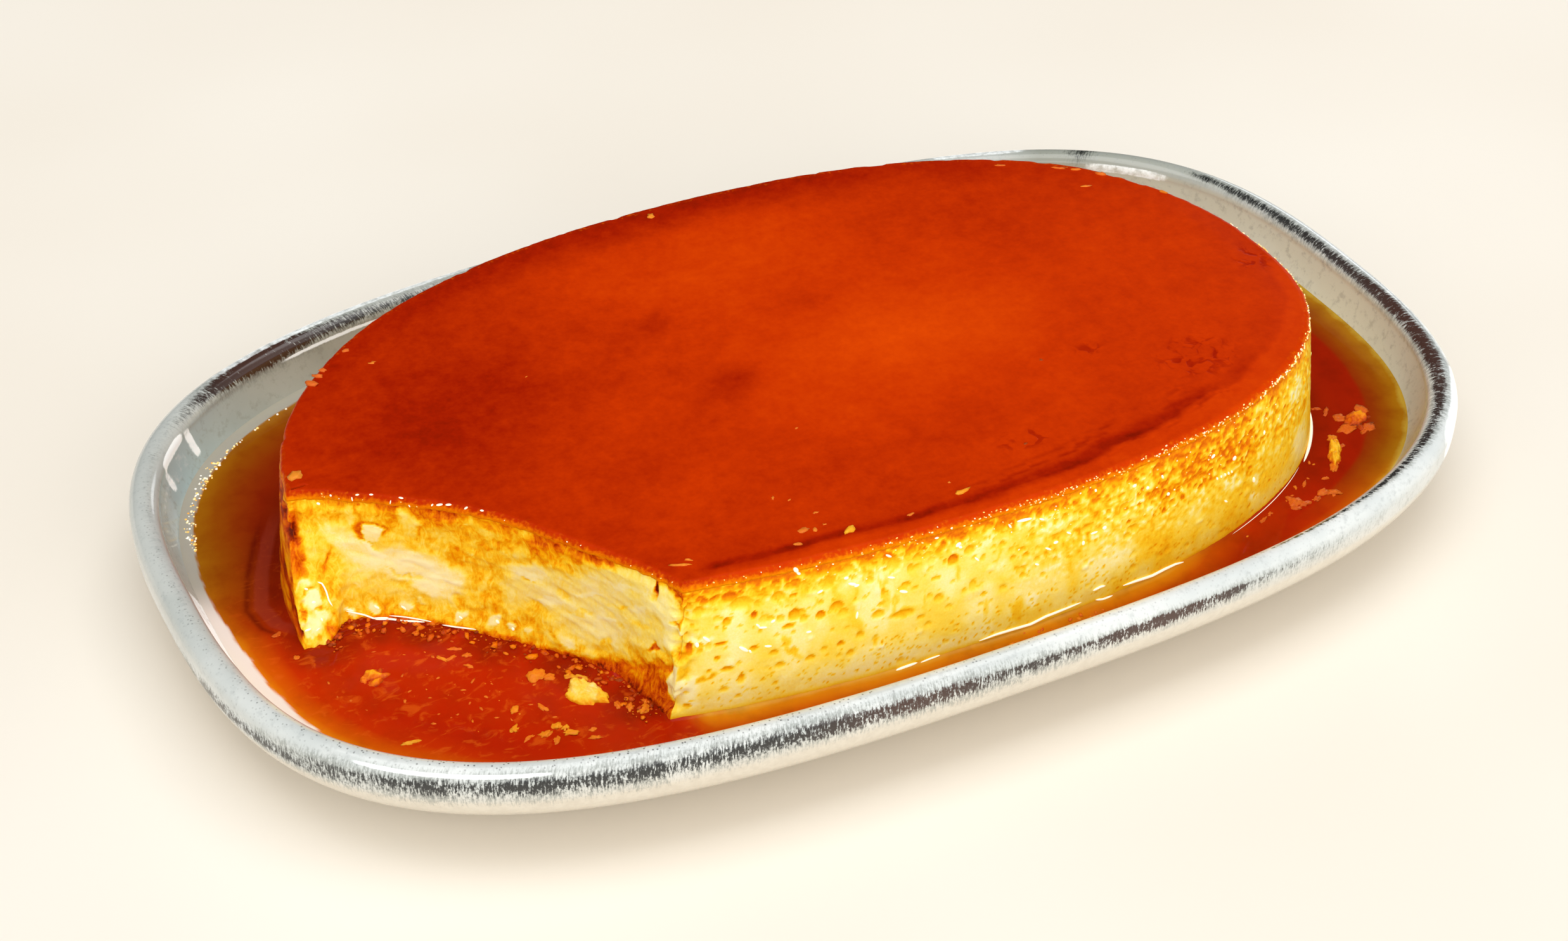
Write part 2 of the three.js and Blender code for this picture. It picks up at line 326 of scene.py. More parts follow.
class Finish:
    """A material whose nodes are made from expressions."""

    def __init__(self, name):
        self.material = bpy.data.materials.new(name)
        self.material.use_nodes = True
        self.tree = self.material.node_tree
        self.tree.nodes.clear()

    def node(self, kind, settings, *inputs, output=0, **named):
        """Adds a node, sets its settings and then its sockets, and returns one output.

        A socket is known by its place or its name; one given as None is left alone.
        """
        made = self.tree.nodes.new(kind)
        for key, value in settings.items():
            if key == "stops":
                set_stops(made.color_ramp, value)
            else:
                setattr(made, key, value)
        sockets = dict(enumerate(inputs))
        sockets.update((key.replace("_", " "), value) for key, value in named.items())
        for key, value in sockets.items():
            if isinstance(value, Value):
                self.tree.links.new(value.socket, made.inputs[key])
            elif value is not None:
                made.inputs[key].default_value = value
        return Value(self, made.outputs[output])

    def layer(self, name):
        """A value that the mesh carries."""
        return self.node("ShaderNodeAttribute", {"attribute_name": name}, output="Fac")

    def vector_layer(self, name):
        """Three values that the mesh carries, such as a place."""
        return self.node("ShaderNodeAttribute", {"attribute_name": name}, output="Vector")

    def place(self):
        """Where the point is on the object, in millimetres."""
        spot = self.node("ShaderNodeTexCoord", {}, output="Object")
        return self.scaled(spot, (1 / MM, 1 / MM, 1 / MM))

    def scaled(self, vector, factors):
        return self.node("ShaderNodeVectorMath", {"operation": "MULTIPLY"}, vector, factors)

    def grain(self, vector, size, detail, roughness=0.5, distortion=0.0):
        """Noise about 0.5 with lumps of a size in the vector's own units."""
        return self.node("ShaderNodeTexNoise", {}, Vector=vector, Scale=1 / size, Detail=detail,
                         Roughness=roughness, Distortion=distortion, output="Fac")

    def cells(self, vector, size):
        """Distance to the middle of the nearest of many scattered cells, each about size across."""
        return self.node("ShaderNodeTexVoronoi", {}, Vector=vector, Scale=1 / size,
                         output="Distance")

    def ramp(self, value, *stops):
        return self.node("ShaderNodeValToRGB", {"stops": stops}, value)

    def blended(self, share, first, second):
        """A colour that goes from the first to the second as the share goes from 0 to 1."""
        unused = [None] * 5
        return self.node("ShaderNodeMix", {"data_type": "RGBA"}, share, *unused, first, second,
                         output=2)

    def bumped(self, height, distance, strength):
        return self.node("ShaderNodeBump", {}, Strength=strength, Distance=distance * MM,
                         Height=height, output="Normal")

    def finished(self, **sockets):
        """Ends the material in one surface shader and returns the material."""
        surface = self.node("ShaderNodeBsdfPrincipled", {}, **sockets)
        output = self.tree.nodes.new("ShaderNodeOutputMaterial")
        self.tree.links.new(surface.socket, output.inputs[0])
        return self.material


def set_stops(ramp, stops):
    """Gives a colour ramp its places and their colours."""
    while len(ramp.elements) < len(stops):
        ramp.elements.new(0.5)
    for element, (place, colour) in zip(ramp.elements, stops):
        element.position = place
        element.color = colour


def shade(red, green, blue):
    """A colour given as 0 to 255 screen values."""
    def linear(v):
        v = v / 255
        return v / 12.92 if v <= 0.04045 else ((v + 0.055) / 1.055) ** 2.4
    return linear(red), linear(green), linear(blue), 1.0


# ---- finishes -----------------------------------------------------------------------------------


def stoneware_finish():
    """Pale grey glaze that breaks dark and streaky along the edges of the lip, with painted highlights
    and reflections of a window that glow.
    """
    f = Finish("stoneware_glaze")
    around = f.vector_layer("around")
    across = f.layer("across")
    place = f.place()
    clouds = f.grain(place, 14, detail=3)
    mottle = f.grain(place, 1.6, detail=4, roughness=0.65)
    fine = f.grain(place, 0.5, detail=3, roughness=0.7)
    streaks = f.grain(f.scaled(around, (1, 1, 0.25)), 0.36, detail=4, roughness=0.7)
    drifts = f.grain(f.scaled(around, (1, 1, 0.15)), 5, detail=3)
    broken = (streaks - 0.5) * 5.2 + (fine - 0.5) * 2 + (drifts - 0.5) * 1.6
    grainy = broken * f.layer("streaky") + 1

    pale = f.blended(clouds.between(0.35, 0.65), shade(214, 220, 220), shade(232, 236, 235))
    pale = f.blended(f.layer("grey"), pale, shade(150, 154, 143))
    pale = f.blended(mottle.between(0.5, 0.75) * 0.4, pale, shade(160, 166, 166))
    plain = f.blended(clouds.between(0.3, 0.7), shade(164, 164, 154), shade(180, 180, 170))
    inner = f.blended(f.layer("cool"), plain, shade(176, 206, 214))
    inner = f.blended(f.layer("warm"), inner, shade(222, 224, 206))
    inner = f.blended(mottle.between(0.5, 0.7) * 0.35, inner, shade(138, 138, 128))
    body = f.blended(across.between(2.4, 4.4), pale, inner)
    under = f.blended(mottle.between(0.3, 0.7) * 0.5, shade(222, 214, 198), shade(204, 194, 177))
    body = f.blended(f.layer("bare"), body, under)

    halo = (f.layer("halo") * grainy).between(0.2, 0.9)
    body = f.blended(halo * 0.55, body, shade(112, 118, 110))
    iron = f.blended(f.layer("brown"), shade(16, 17, 19), shade(62, 27, 14))
    colour = f.blended((f.layer("dark") * grainy).between(0.3, 0.85) * 0.95, body, iron)
    specks = f.cells(place, 0.8).between(0.3, 0.12) * f.layer("speckled")
    colour = f.blended(specks * 0.85, colour, shade(50, 48, 50))
    # Painted highlights: reflections of a window, painted near white and made to glow.
    pane = (f.layer("pane") + (mottle - 0.5) * 0.9).between(0.3, 0.85)
    colour = f.blended(pane * 0.85, colour, shade(246, 250, 250))
    glow = f.blended(pane, shade(0, 0, 0), shade(200, 206, 206))
    bump = f.bumped(mottle + streaks * 0.5, 0.04, 0.3)
    return f.finished(Base_Color=colour, Roughness=0.14, IOR=1.5, Normal=bump,
                      Emission_Color=glow, Emission_Strength=0.45,
                      Coat_Weight=0.12, Coat_Roughness=0.05)


def custard_colour(f, level):
    """Clean custard at 0, through the yellows and ambers that caramel gives it, to burnt at 1."""
    return f.ramp(level,
                  (0.0, shade(255, 245, 184)), (0.1, shade(255, 240, 164)),
                  (0.2, shade(255, 230, 118)), (0.3, shade(254, 219, 78)),
                  (0.42, shade(253, 203, 38)),
                  (0.55, shade(246, 170, 6)), (0.68, shade(234, 128, 2)),
                  (0.8, shade(212, 88, 2)), (0.9, shade(176, 52, 2)), (1.0, shade(110, 26, 2)))


def custard_finish():
    """Baked custard: pale where clean, amber to brown where caramel has soaked in."""
    f = Finish("custard")
    place = f.place()
    stain = f.layer("stain")
    fine = f.grain(place, 0.45, detail=4, roughness=0.65)
    broad = f.grain(place, 4, detail=2)
    strands = f.grain(f.scaled(place, (1, 1, 0.5)), 1.7, detail=4, roughness=0.65, distortion=1.4)
    torn = f.layer("torn") * (stain.between(0.1, 0.5) * 0.75 + 0.25)
    level = stain + (fine - 0.5) * 0.2 + (broad - 0.5) * 0.08 + (strands - 0.5) * 0.85 * torn
    # Painted shade dulls the far half of the cut.
    colour = f.blended(f.layer("dull") * 0.25, custard_colour(f, level), shade(226, 204, 96))
    bump = f.bumped(fine + strands * torn, 0.12, 0.4)
    return f.finished(Base_Color=colour, Roughness=0.36, IOR=1.4, Normal=bump,
                      Specular_IOR_Level=0.06, Subsurface_Weight=0.06,
                      Subsurface_Radius=(1.0, 0.6, 0.15), Subsurface_Scale=1.4 * MM)


def glaze_finish():
    """The caramel-soaked skin on top, amber where its edge meets the custard."""
    f = Finish("caramel_glaze")
    place = f.place()
    clouds = f.grain(place, 20, detail=3, roughness=0.55)
    mottle = f.grain(place, 5, detail=4, roughness=0.6)
    fine = f.grain(place, 0.7, detail=3)
    speckle = f.grain(place, 2.1, detail=4, roughness=0.7)
    pits = f.grain(place, 3.4, detail=2, distortion=1.2).between(0.5, 0.62) * f.layer("pitted")
    level = f.layer("tone") + (clouds - 0.5) * 0.28 + (mottle - 0.5) * 0.17 + (fine - 0.5) * 0.1
    level = level + (speckle - 0.5) * 0.26 - pits * 0.2
    top = f.ramp(level,
                 (0.0, shade(104, 14, 1)), (0.22, shade(158, 27, 1)), (0.5, shade(196, 51, 1)),
                 (0.75, shade(216, 69, 2)), (1.0, shade(240, 104, 5)))
    soaked = f.layer("soaked") + (fine - 0.5) * 0.9 + (mottle - 0.5) * 0.5
    edge = custard_colour(f, soaked * 0.3 + 0.64)
    colour = f.blended(soaked.between(0.3, 0.8), edge, top)
    bump = f.bumped(mottle + fine * 0.3 - pits * 1.2, 0.12, 0.3)
    return f.finished(Base_Color=colour, Roughness=0.3, IOR=1.33, Specular_IOR_Level=0.03,
                      Normal=bump)


def caramel_finish():
    """Runny caramel over the plate, from a thin yellow film to deep orange-red, with painted shade and
    painted reflections.
    """
    f = Finish("liquid_caramel")
    place = f.place()
    depth = f.layer("depth") + (f.grain(place, 9, detail=2) - 0.5) * 0.8
    warm = f.ramp(depth / 6.5,
                  (0.0, shade(250, 226, 150)), (0.04, shade(246, 190, 60)),
                  (0.14, shade(230, 140, 14)), (0.32, shade(208, 88, 5)),
                  (0.62, shade(190, 46, 3)), (1.0, shade(176, 33, 3)))
    murk = f.grain(place, 7, detail=4, roughness=0.6)
    from_edge = f.layer("from_edge") + (murk - 0.5) * 0.3
    # Olive and darker away from the edge; behind the flan this is partly painted shade.
    olive = f.ramp(from_edge,
                   (0.0, shade(186, 150, 50)), (0.1, shade(166, 110, 14)),
                   (0.4, shade(150, 78, 6)), (0.7, shade(144, 54, 5)), (1.0, shade(138, 34, 4)))
    shallow = f.blended(f.layer("olive"), warm, olive)
    # Darker where the caramel is thick and where shade is painted in.
    thick = f.layer("thick") + (f.grain(place, 1.8, detail=3) - 0.5) * 0.3 * f.layer("thick")
    colour = f.blended(murk.between(0.42, 0.75) * 0.2 + thick, shallow, shade(100, 18, 2))
    flecks = f.grain(f.scaled(place, (1, 1.5, 1)), 3.2, detail=4, roughness=0.6, distortion=0.8)
    colour = f.blended(flecks.between(0.52, 0.72) * f.layer("flecks") * 0.5, colour,
                       shade(214, 92, 20))
    # A painted reflection: a pale arc at the left end.
    colour = f.blended(f.layer("sheen") * 0.32, colour, shade(164, 66, 46))
    # Painted reflection of a window on the bare wall, pale towards the front.
    wall = f.blended(f.layer("lit"), shade(172, 172, 162), shade(243, 234, 226))
    colour = f.blended(f.layer("bare") * 0.9, colour, wall)
    bump = f.bumped(f.grain(place, 6, detail=1), 0.05, 0.2)
    return f.finished(Base_Color=colour, Roughness=0.06, IOR=1.36, Normal=bump,
                      Specular_IOR_Level=0.12)


def wet_crumb_finish():
    """Small bits of custard soaked and coated in caramel."""
    f = Finish("wet_crumbs")
    fine = f.grain(f.place(), 0.5, detail=3, roughness=0.6)
    colour = custard_colour(f, f.layer("stain") + (fine - 0.5) * 0.36)
    colour = f.blended(f.layer("film") * 0.75, colour, shade(214, 104, 40))
    return f.finished(Base_Color=colour, Roughness=0.3, IOR=1.4, Specular_IOR_Level=0.15,
                      Normal=f.bumped(fine, 0.12, 0.6))


def painted_glint_finish():
    """Painted glints: beads and threads of clear syrup, painted pale and made to glow."""
    f = Finish("painted_glint_beads")
    fine = f.grain(f.place(), 0.7, detail=3)
    warm = f.layer("warm") + (fine - 0.5) * 0.3
    pale = f.ramp(warm / 2, (0.0, shade(255, 253, 240)), (0.5, shade(255, 222, 130)),
                  (1.0, shade(238, 150, 30)))
    # They glow by emission, a painted highlight.
    return f.finished(Base_Color=pale, Roughness=0.2, IOR=1.35, Specular_IOR_Level=0.2,
                      Emission_Color=pale, Emission_Strength=0.34,
                      Normal=f.bumped(fine, 0.05, 0.4))


# ---- plate --------------------------------------------------------------------------------------

# Where the glaze breaks dark on the inside of the crest: bearing in degrees, place across the lip
# (0 on the crest, outside negative), half width and strength.
CREST_BREAKS = [
    (-180, 0.4, 0.8, 0.3), (-170, 0.4, 0.7, 0.2), (-100, 0.8, 0.3, 0), (-72, 0.8, 0.3, 0),
    (-60, 0.8, 0.5, 0.9), (-50, 0.8, 0.7, 1.0), (-40, 0.8, 1.0, 1.0), (-30, 1.0, 1.7, 1.15),
    (-20, 1.3, 1.6, 1.2), (-10, 1.5, 1.5, 1.1), (0, 1.6, 1.4, 0.85), (10, 1.7, 1.35, 0.8),
    (20, 1.4, 1.2, 0.85), (28, 1.0, 1.1, 0.7), (35, 0.8, 0.8, 0), (41, 0, 3, 0), (44.5, 0, 3, 0.7),
    (48, 0, 3, 0), (104, 2.2, 1.0, 0), (110, 2.2, 1.3, 0.6), (118, 2.2, 1.5, 0.7),
    (124, 2.0, 1.8, 1.0), (129, 1.8, 2.1, 1.7), (134, 1.6, 2.0, 1.2), (139, 1.4, 1.8, 0.5),
    (145, 1.2, 1.6, 0.3), (165, 0.8, 1.2, 0.3), (180, 0.4, 0.8, 0.3),
]
# The same on the outside of the lip, in front.
OUTER_BREAKS = [
    (-180, -8, 0.9, 0.3), (-170, -7.8, 1.0, 0.9), (-160, -7.0, 1.2, 1.0), (-150, -5.8, 1.6, 1.0),
    (-140, -4.9, 1.9, 0.95), (-130, -4.3, 2.0, 0.9), (-120, -4.2, 2.0, 0.9),
    (-110, -3.8, 1.9, 0.9), (-104, -3.9, 1.7, 1.1), (-95, -4.5, 1.7, 1.1), (-90, -4.8, 1.6, 1.0),
    (-84, -4.8, 1.2, 1.1), (-82, -4.9, 1.2, 2.2), (-71, -4.9, 1.1, 2.2), (-69, -4.8, 1.2, 0.7),
    (-60, -5.2, 1.4, 0.5), (-50, -5.6, 1.6, 0.35), (-40, -5.6, 1.6, 0), (180, -8, 0.9, 0.3),
]
# How grey the crest is, by bearing.
CREST_GREY = [
    (-180, 0.5), (-165, 0.35), (-150, 0.25), (-120, 0.2), (-60, 0.1), (-45, 0), (5, 0.1),
    (20, 0.4), (30, 0.8), (49, 0.95), (54, 0.4), (62, 0.6), (75, 0.9), (104, 0.95), (112, 0.5),
    (136, 0.4), (142, 0.5), (180, 0.5),
]
# Painted highlights: bright panes painted where the glaze mirrors a window: bearings, places across,
# strength.
PAINTED_HIGHLIGHTS = [
    (141.8, 142.6, 3.6, 9.5, 0.8), (143.4, 149.2, 3.0, 4.6, 1.0), (144.2, 148.6, 5.2, 9.0, 0.35),
    (149.2, 150, 4.6, 9.0, 0.7), (150, 156, 6.2, 6.9, 0.4), (117.5, 127.5, 4.1, 4.6, 0.9),
    (33, 43.5, 2.9, 4.4, 0.62), (50.5, 60, -2.0, 0.5, 0.6), (107, 135, -1.6, 0.2, 0.6),
    (-43, -29, -9, -1.4, 1.0), (-29, -8, -3.6, -1.0, 0.55), (-143, -127, -2.15, -1.85, 0.9),
    (-182, -151, 6.4, 14, 1.0), (173, 182, 6.4, 14, 0.7),
]
# How far down the outside the pale glaze reaches before the bare clay, by bearing.
GLAZE_ENDS = [
    (-180, -9.5), (-165, -8.8), (-152, -7.4), (-140, -6.4), (-120, -6.0), (-100, -5.6),
    (-60, -6.2), (-46, -7.4), (-32, -12), (180, -12),
]


def lip_values(across, bearing):
    """What shows in the glaze at every point of the plate: dark, grey, brown, painted highlights and so
    on.
    """

    def lobe(centre, width):
        away = (bearing - centre + 180) % 360 - 180
        return hump(away, 0, width)

    bands = []
    for breaks in (CREST_BREAKS, OUTER_BREAKS):
        marks = np.array(breaks).T
        bands.append([np.interp(bearing, marks[0], column) for column in marks[1:]])
    peppered = 0.2 + 0.8 * lobe(-128, 30) + 0.3 * lobe(-178, 24) + 0.3 * lobe(-90, 25)
    crest_grey = read_off(CREST_GREY, bearing)
    clay = read_off(GLAZE_ENDS, bearing)
    values = {key: [] for key in ("dark", "halo", "speckled", "grey", "pane", "bare")}
    for ring_across in across:
        dark = [strength * hump(ring_across, centre, width) for centre, width, strength in bands]
        halo = [np.minimum(strength, 1) * hump(ring_across, centre, width * 1.8)
                for centre, width, strength in bands]
        values["dark"].append(np.maximum(*dark))
        values["halo"].append(np.maximum(*halo))
        on_crest = max(hump(ring_across, 0.4, 1.6), 0.3 * hump(ring_across, -2, 3))
        values["speckled"].append(peppered * on_crest)
        values["grey"].append(crest_grey * smooth(-7, -3, ring_across))
        values["bare"].append(smooth(clay + 1.2, clay - 2.0, ring_across))
        # The painted highlights, as rounded panes.
        bright = np.zeros(len(bearing))
        for first, last, low, high, strength in PAINTED_HIGHLIGHTS:
            wide = np.abs(2 * bearing - first - last) / (last - first + 0.6)
            tall = abs(2 * ring_across - low - high) / (high - low + 0.5)
            inside = np.clip(1.5 - wide ** 4 - tall ** 4, 0, 1)
            bright = np.maximum(bright, inside * strength)
        values["pane"].append(bright)
    values = {key: np.concatenate(rows) for key, rows in values.items()}
    by_bearing = {
        "brown": np.clip(lobe(-99, 7) + lobe(-77, 9) + lobe(-22, 20) + lobe(130, 8), 0, 1),
        "cool": lobe(150, 15) * 0.8,
        "warm": np.maximum(lobe(2, 42), 0.9 * lobe(-166, 22)),
        "streaky": mix(1, 0.55, smooth(-48, -24, bearing)),
    }
    values.update((key, np.tile(value, len(across))) for key, value in by_bearing.items())
    return values


def plate_ring(inset, sides):
    """The plate's outline in plan, drawn in by an inset."""
    turn = (np.arange(sides) + 0.5) / sides * 2 * math.pi
    reach = 1 + PLATE_SKEW * np.sin(2 * turn) + PLATE_SHOULDER * np.cos(4 * turn)
    power = 2 / PLATE_SQUARENESS
    x = (PLATE_HALF_LENGTH - inset) * reach * signed_power(np.cos(turn), power)
    y = (PLATE_HALF_WIDTH - inset) * reach * signed_power(np.sin(turn), power)
    return np.stack([x, y], axis=1)


def wall_inside(share):
    """Inset and height of the inside of the wall, from the floor (0) to the lip (1)."""
    foot = 2 * LIP_RADIUS
    turn = share * math.pi / 2
    run = mix(1 - np.sin(turn), np.cos(turn), WALL_STRAIGHT)
    rise = PLATE_HEIGHT - LIP_RADIUS - WELL_FLOOR
    return foot + (WALL_RUN - foot) * run, WELL_FLOOR + rise * (1 - np.cos(turn))


def plate_profile():
    """Inset and height of the plate's section, from the middle of the underside to the well."""
    foot_inside = FOOT_INSET + FOOT_WIDTH + 2 * FOOT_DRAFT
    inset = [foot_inside + 30, foot_inside + 0.6, foot_inside, foot_inside - FOOT_DRAFT]
    height = [FOOT_HEIGHT, FOOT_HEIGHT, FOOT_HEIGHT - 0.4, 0]
    inset += [FOOT_INSET + FOOT_DRAFT, FOOT_INSET + 0.3]
    height += [0, FOOT_HEIGHT - 0.5]
    turn = np.linspace(math.pi / 2, 0, 26)
    inset = np.append(inset, FOOT_INSET * (1 - np.cos(turn)))
    height = np.append(height, OUTER_WALL_TURN - (OUTER_WALL_TURN - FOOT_HEIGHT) * np.sin(turn))
    turn = np.linspace(0, math.pi, 34)
    inset = np.append(inset, LIP_RADIUS * (1 - np.cos(turn)))
    height = np.append(height, PLATE_HEIGHT - LIP_RADIUS + LIP_RADIUS * np.sin(turn))
    wall = wall_inside(np.linspace(1, 0, 36)[1:])
    inset = np.append(inset, wall[0])
    height = np.append(height, wall[1])
    inset = np.append(inset, [WALL_RUN + 6, WALL_RUN + 18, WALL_RUN + 40])
    height = np.append(height, [WELL_FLOOR] * 3)
    return inset, height


# How much the inside of the lip is pushed out, by bearing, which makes the lip thinner there.
LIP_THINNED = [
    (-165, 0), (-150, 0.6), (-130, 0.55), (-105, 0.15), (-80, 0.4), (-60, 0.6), (-40, 0),
]


def plate():
    """The plate, in rings from the middle of its underside, over the lip and into the well."""
    inset, height = plate_profile()
    length = run_length(np.column_stack([inset, height]))
    across = length - length[np.argmax(height)]
    outline = plate_ring(0, PLATE_COLUMNS)
    bearing = plate_bearing(*outline.T)
    steps = np.linalg.norm(np.roll(outline, -1, axis=0) - outline, axis=1)
    turned = (np.cumsum(steps) - steps[0]) / steps.sum() * 2 * math.pi
    girth = steps.sum() / (2 * math.pi)
    thinned = read_off(LIP_THINNED, bearing)
    rows = []
    around = []
    for ring_inset, ring_height, ring_across in zip(inset, height, across):
        plan = plate_ring(ring_inset, PLATE_COLUMNS)
        push = thinned * smooth(-1.2, 2.6, ring_across) * smooth(9, 4.6, ring_across)
        plan = plan + ring_normals(plan) * push[:, None]
        rows.append(raised(plan, ring_height))
        around.append(raised(girth * np.column_stack([np.cos(turned), np.sin(turned)]),
                             ring_across))
    points = np.concatenate(rows)
    wobble = noise(points, 26, seed=4) - 0.5
    above_foot = smooth(FOOT_HEIGHT, 8, points[:, 2])
    below_crest = smooth(PLATE_HEIGHT, 21, points[:, 2])
    points[:, 2] += 0.3 * wobble * above_foot * below_crest
    return add_piece("stoneware_plate", points, loft_faces(len(inset), PLATE_COLUMNS),
                     stoneware_finish(), "stoneware", ["plate"],
                     across=np.repeat(across, PLATE_COLUMNS), around=np.concatenate(around),
                     **lip_values(across, bearing))


# ---- flan outline -------------------------------------------------------------------------------


def skin_point(turn, grow):
    """A point of the moulded side at a turn round the flan, with its half axes grown."""
    reach = (1 + FLAN_EGG * np.sin(3 * turn) + FLAN_END * np.cos(3 * turn)
             + FLAN_SHOULDER * np.cos(4 * turn))
    power = 2 / FLAN_SQUARENESS
    x = (FLAN_HALF_LENGTH + grow) * reach * signed_power(np.cos(turn), power)
    y = (FLAN_HALF_WIDTH + grow) * reach * signed_power(np.sin(turn), power)
    return FLAN_CENTRE + spun(np.stack([x, y], axis=-1), math.cos(FLAN_TURN), math.sin(FLAN_TURN))


def turn_near(point, grow):
    """The turn round the flan at which its moulded side passes nearest to a point."""
    turn = np.arange(1440) / 1440 * 2 * math.pi
    return turn[np.argmin(np.linalg.norm(skin_point(turn, grow) - point, axis=1))]


LEFT_TURN = turn_near(CUT_TOP[0], 0), turn_near(CUT_FOOT[0], FLAN_TAPER)
RIGHT_TURN = (turn_near(CUT_TOP[-1], 0) - 2 * math.pi,
              turn_near(CUT_FOOT[-1], FLAN_TAPER) - 2 * math.pi)


def smooth_path(marks, shares):
    """Points of a smooth curve through the marks."""
    count = len(marks) - 1
    place = np.clip(shares * count, 0, count - 1e-9)
    first = place.astype(int)
    t = (place - first)[:, None]
    padded = np.concatenate([[2 * marks[0] - marks[1]], marks, [2 * marks[-1] - marks[-2]]])
    a, b, c, d = (padded[first + k] for k in range(4))
    return 0.5 * (2 * b + (c - a) * t + (2 * a - 5 * b + 4 * c - d) * t ** 2
                  + (3 * b - a - 3 * c + d) * t ** 3)


def flan_ring(z, skin_shares, cut_shares):
    """The flan's outline at one height: round the moulded side, then back along the cut."""
    rise = np.clip((z - CARAMEL_LEVEL) / (FLAN_TOP - CARAMEL_LEVEL), 0, 1)
    spread = (1 - rise) ** FOOT_EASE
    left = mix(*LEFT_TURN, spread)
    right = mix(*RIGHT_TURN, spread)

    def side(turn):
        sag = FLAN_SAG * np.maximum(0, np.cos(turn - SAG_ANGLE)) ** 3
        return skin_point(turn, (FLAN_TAPER + sag) * (1 - rise))

    skin = side(mix(right, left, skin_shares))
    marks = mix(CUT_TOP, CUT_FOOT, spread) + CUT_SCOOP * math.sin(math.pi * rise) * CUT_INWARD
    marks[0], marks[-1] = side(np.array([left, right]))
    return np.concatenate([skin, smooth_path(marks, cut_shares)])


def measured_sides(count):
    """The moulded side and the cut as fine lines, at the height where lengths are taken."""
    fine = np.linspace(0, 1, count)
    ring = flan_ring(MEASURED_HEIGHT, fine, fine)
    return ring[:count], ring[count:]


def stepped_shares(line, steps):
    """Shares of a fine line at which it has grown by each step, and its length there."""
    length = run_length(line)
    wanted = np.append(0, np.cumsum(steps))
    wanted = wanted[:-1] / wanted[-1] * length[-1]
    return np.interp(wanted, length, np.linspace(0, 1, len(length))), wanted


class FlanOutline:
    """The columns of the flan's meshes: finely spaced where the helping was cut and in front."""

    def __init__(self, front_step, back_step, cut_step):
        skin, cut = measured_sides(LINE_POINTS)
        skin_length = run_length(skin)[-1]
        steps = []
        gone = 0
        while gone < skin_length:
            step = mix(front_step, back_step, float(smooth(200, 260, gone)))
            steps.append(step)
            gone += step
        self.skin_shares, self.skin_along = stepped_shares(skin, steps)
        cut_steps = [cut_step] * int(run_length(cut)[-1] / cut_step)
        self.cut_shares, self.cut_along = stepped_shares(cut, cut_steps)
        self.count = len(self.skin_shares) + len(self.cut_shares)
        self.on_cut = np.arange(self.count) >= len(self.skin_shares)

    def ring(self, z):
        return flan_ring(z, self.skin_shares, self.cut_shares)


# ---- custard ------------------------------------------------------------------------------------


def end_swell(along):
    """How far the moulded side swells out at its right end."""
    return 0.8 * hump(along, 154, 20)


def at_back(along):
    """1 along the back of the moulded side, 0 in front and beside the cut."""
    return held(205, 235, 380, 420, along)


def edge_fray(along, on_cut):
    """How far the top edge is nibbled away, in from the outline, less where it stands out.

    At the two corners of the cut nothing is nibbled away.
    """
    line = np.column_stack([along, np.zeros_like(along), np.zeros_like(along)])
    nibble = 0.65 * noise(line, 2.4, seed=31, octaves=3)
    nibble = nibble + 0.5 * noise(line, 0.9, seed=37, octaves=2)
    chips = smooth(0.62, 0.78, noise(line, 5, seed=38, octaves=3))
    nibble = nibble + 1.3 * chips * smooth(190, 215, along) * (1 - on_cut)
    length = np.where(on_cut, CUT_LENGTH, SKIN_LENGTH)
    off_corner = smooth(0, 4, along) * smooth(0, 4, length - along)
    standing_out = (end_swell(along) + 0.7 * at_back(along)) * (1 - on_cut)
    return nibble * mix(0.42, 0.85, on_cut) * off_corner - standing_out


def dimpled(along, heights, dimples):
    """Depth of dimples in a side, how dark their hearts are and how dark the halo round them.

    The hearts are darkest under the upper edge.
    """
    field, hearts, halo = np.zeros((3, len(heights), len(along)))
    reach = 2.4                     # the halo ends this many half sizes out
    for place, z, half_width, half_height, depth, dark in dimples:
        columns = slice(*np.searchsorted(along, [place - half_width * reach,
                                                 place + half_width * reach]))
        rows = slice(*np.searchsorted(heights, [z - half_height * reach, z + half_height * reach]))
        across = (along[columns] - place) / half_width
        up = (heights[rows, None] - z) / half_height
        up = up + 0.35 * across ** 2
        away = across ** 2 + (up * mix(0.85, 1.15, up > 0)) ** 2
        field[rows, columns] = np.maximum(field[rows, columns],
                                          depth * np.clip(1 - away, 0, 1) ** 0.7)
        heart = dark * smooth(1.25, 0.5, away) * mix(0.72, 1.0, smooth(-0.9, 0.7, up))
        hearts[rows, columns] = np.maximum(hearts[rows, columns], heart)
        halo[rows, columns] = np.maximum(halo[rows, columns], dark * np.exp(-away * 0.8))
    return field, hearts, halo


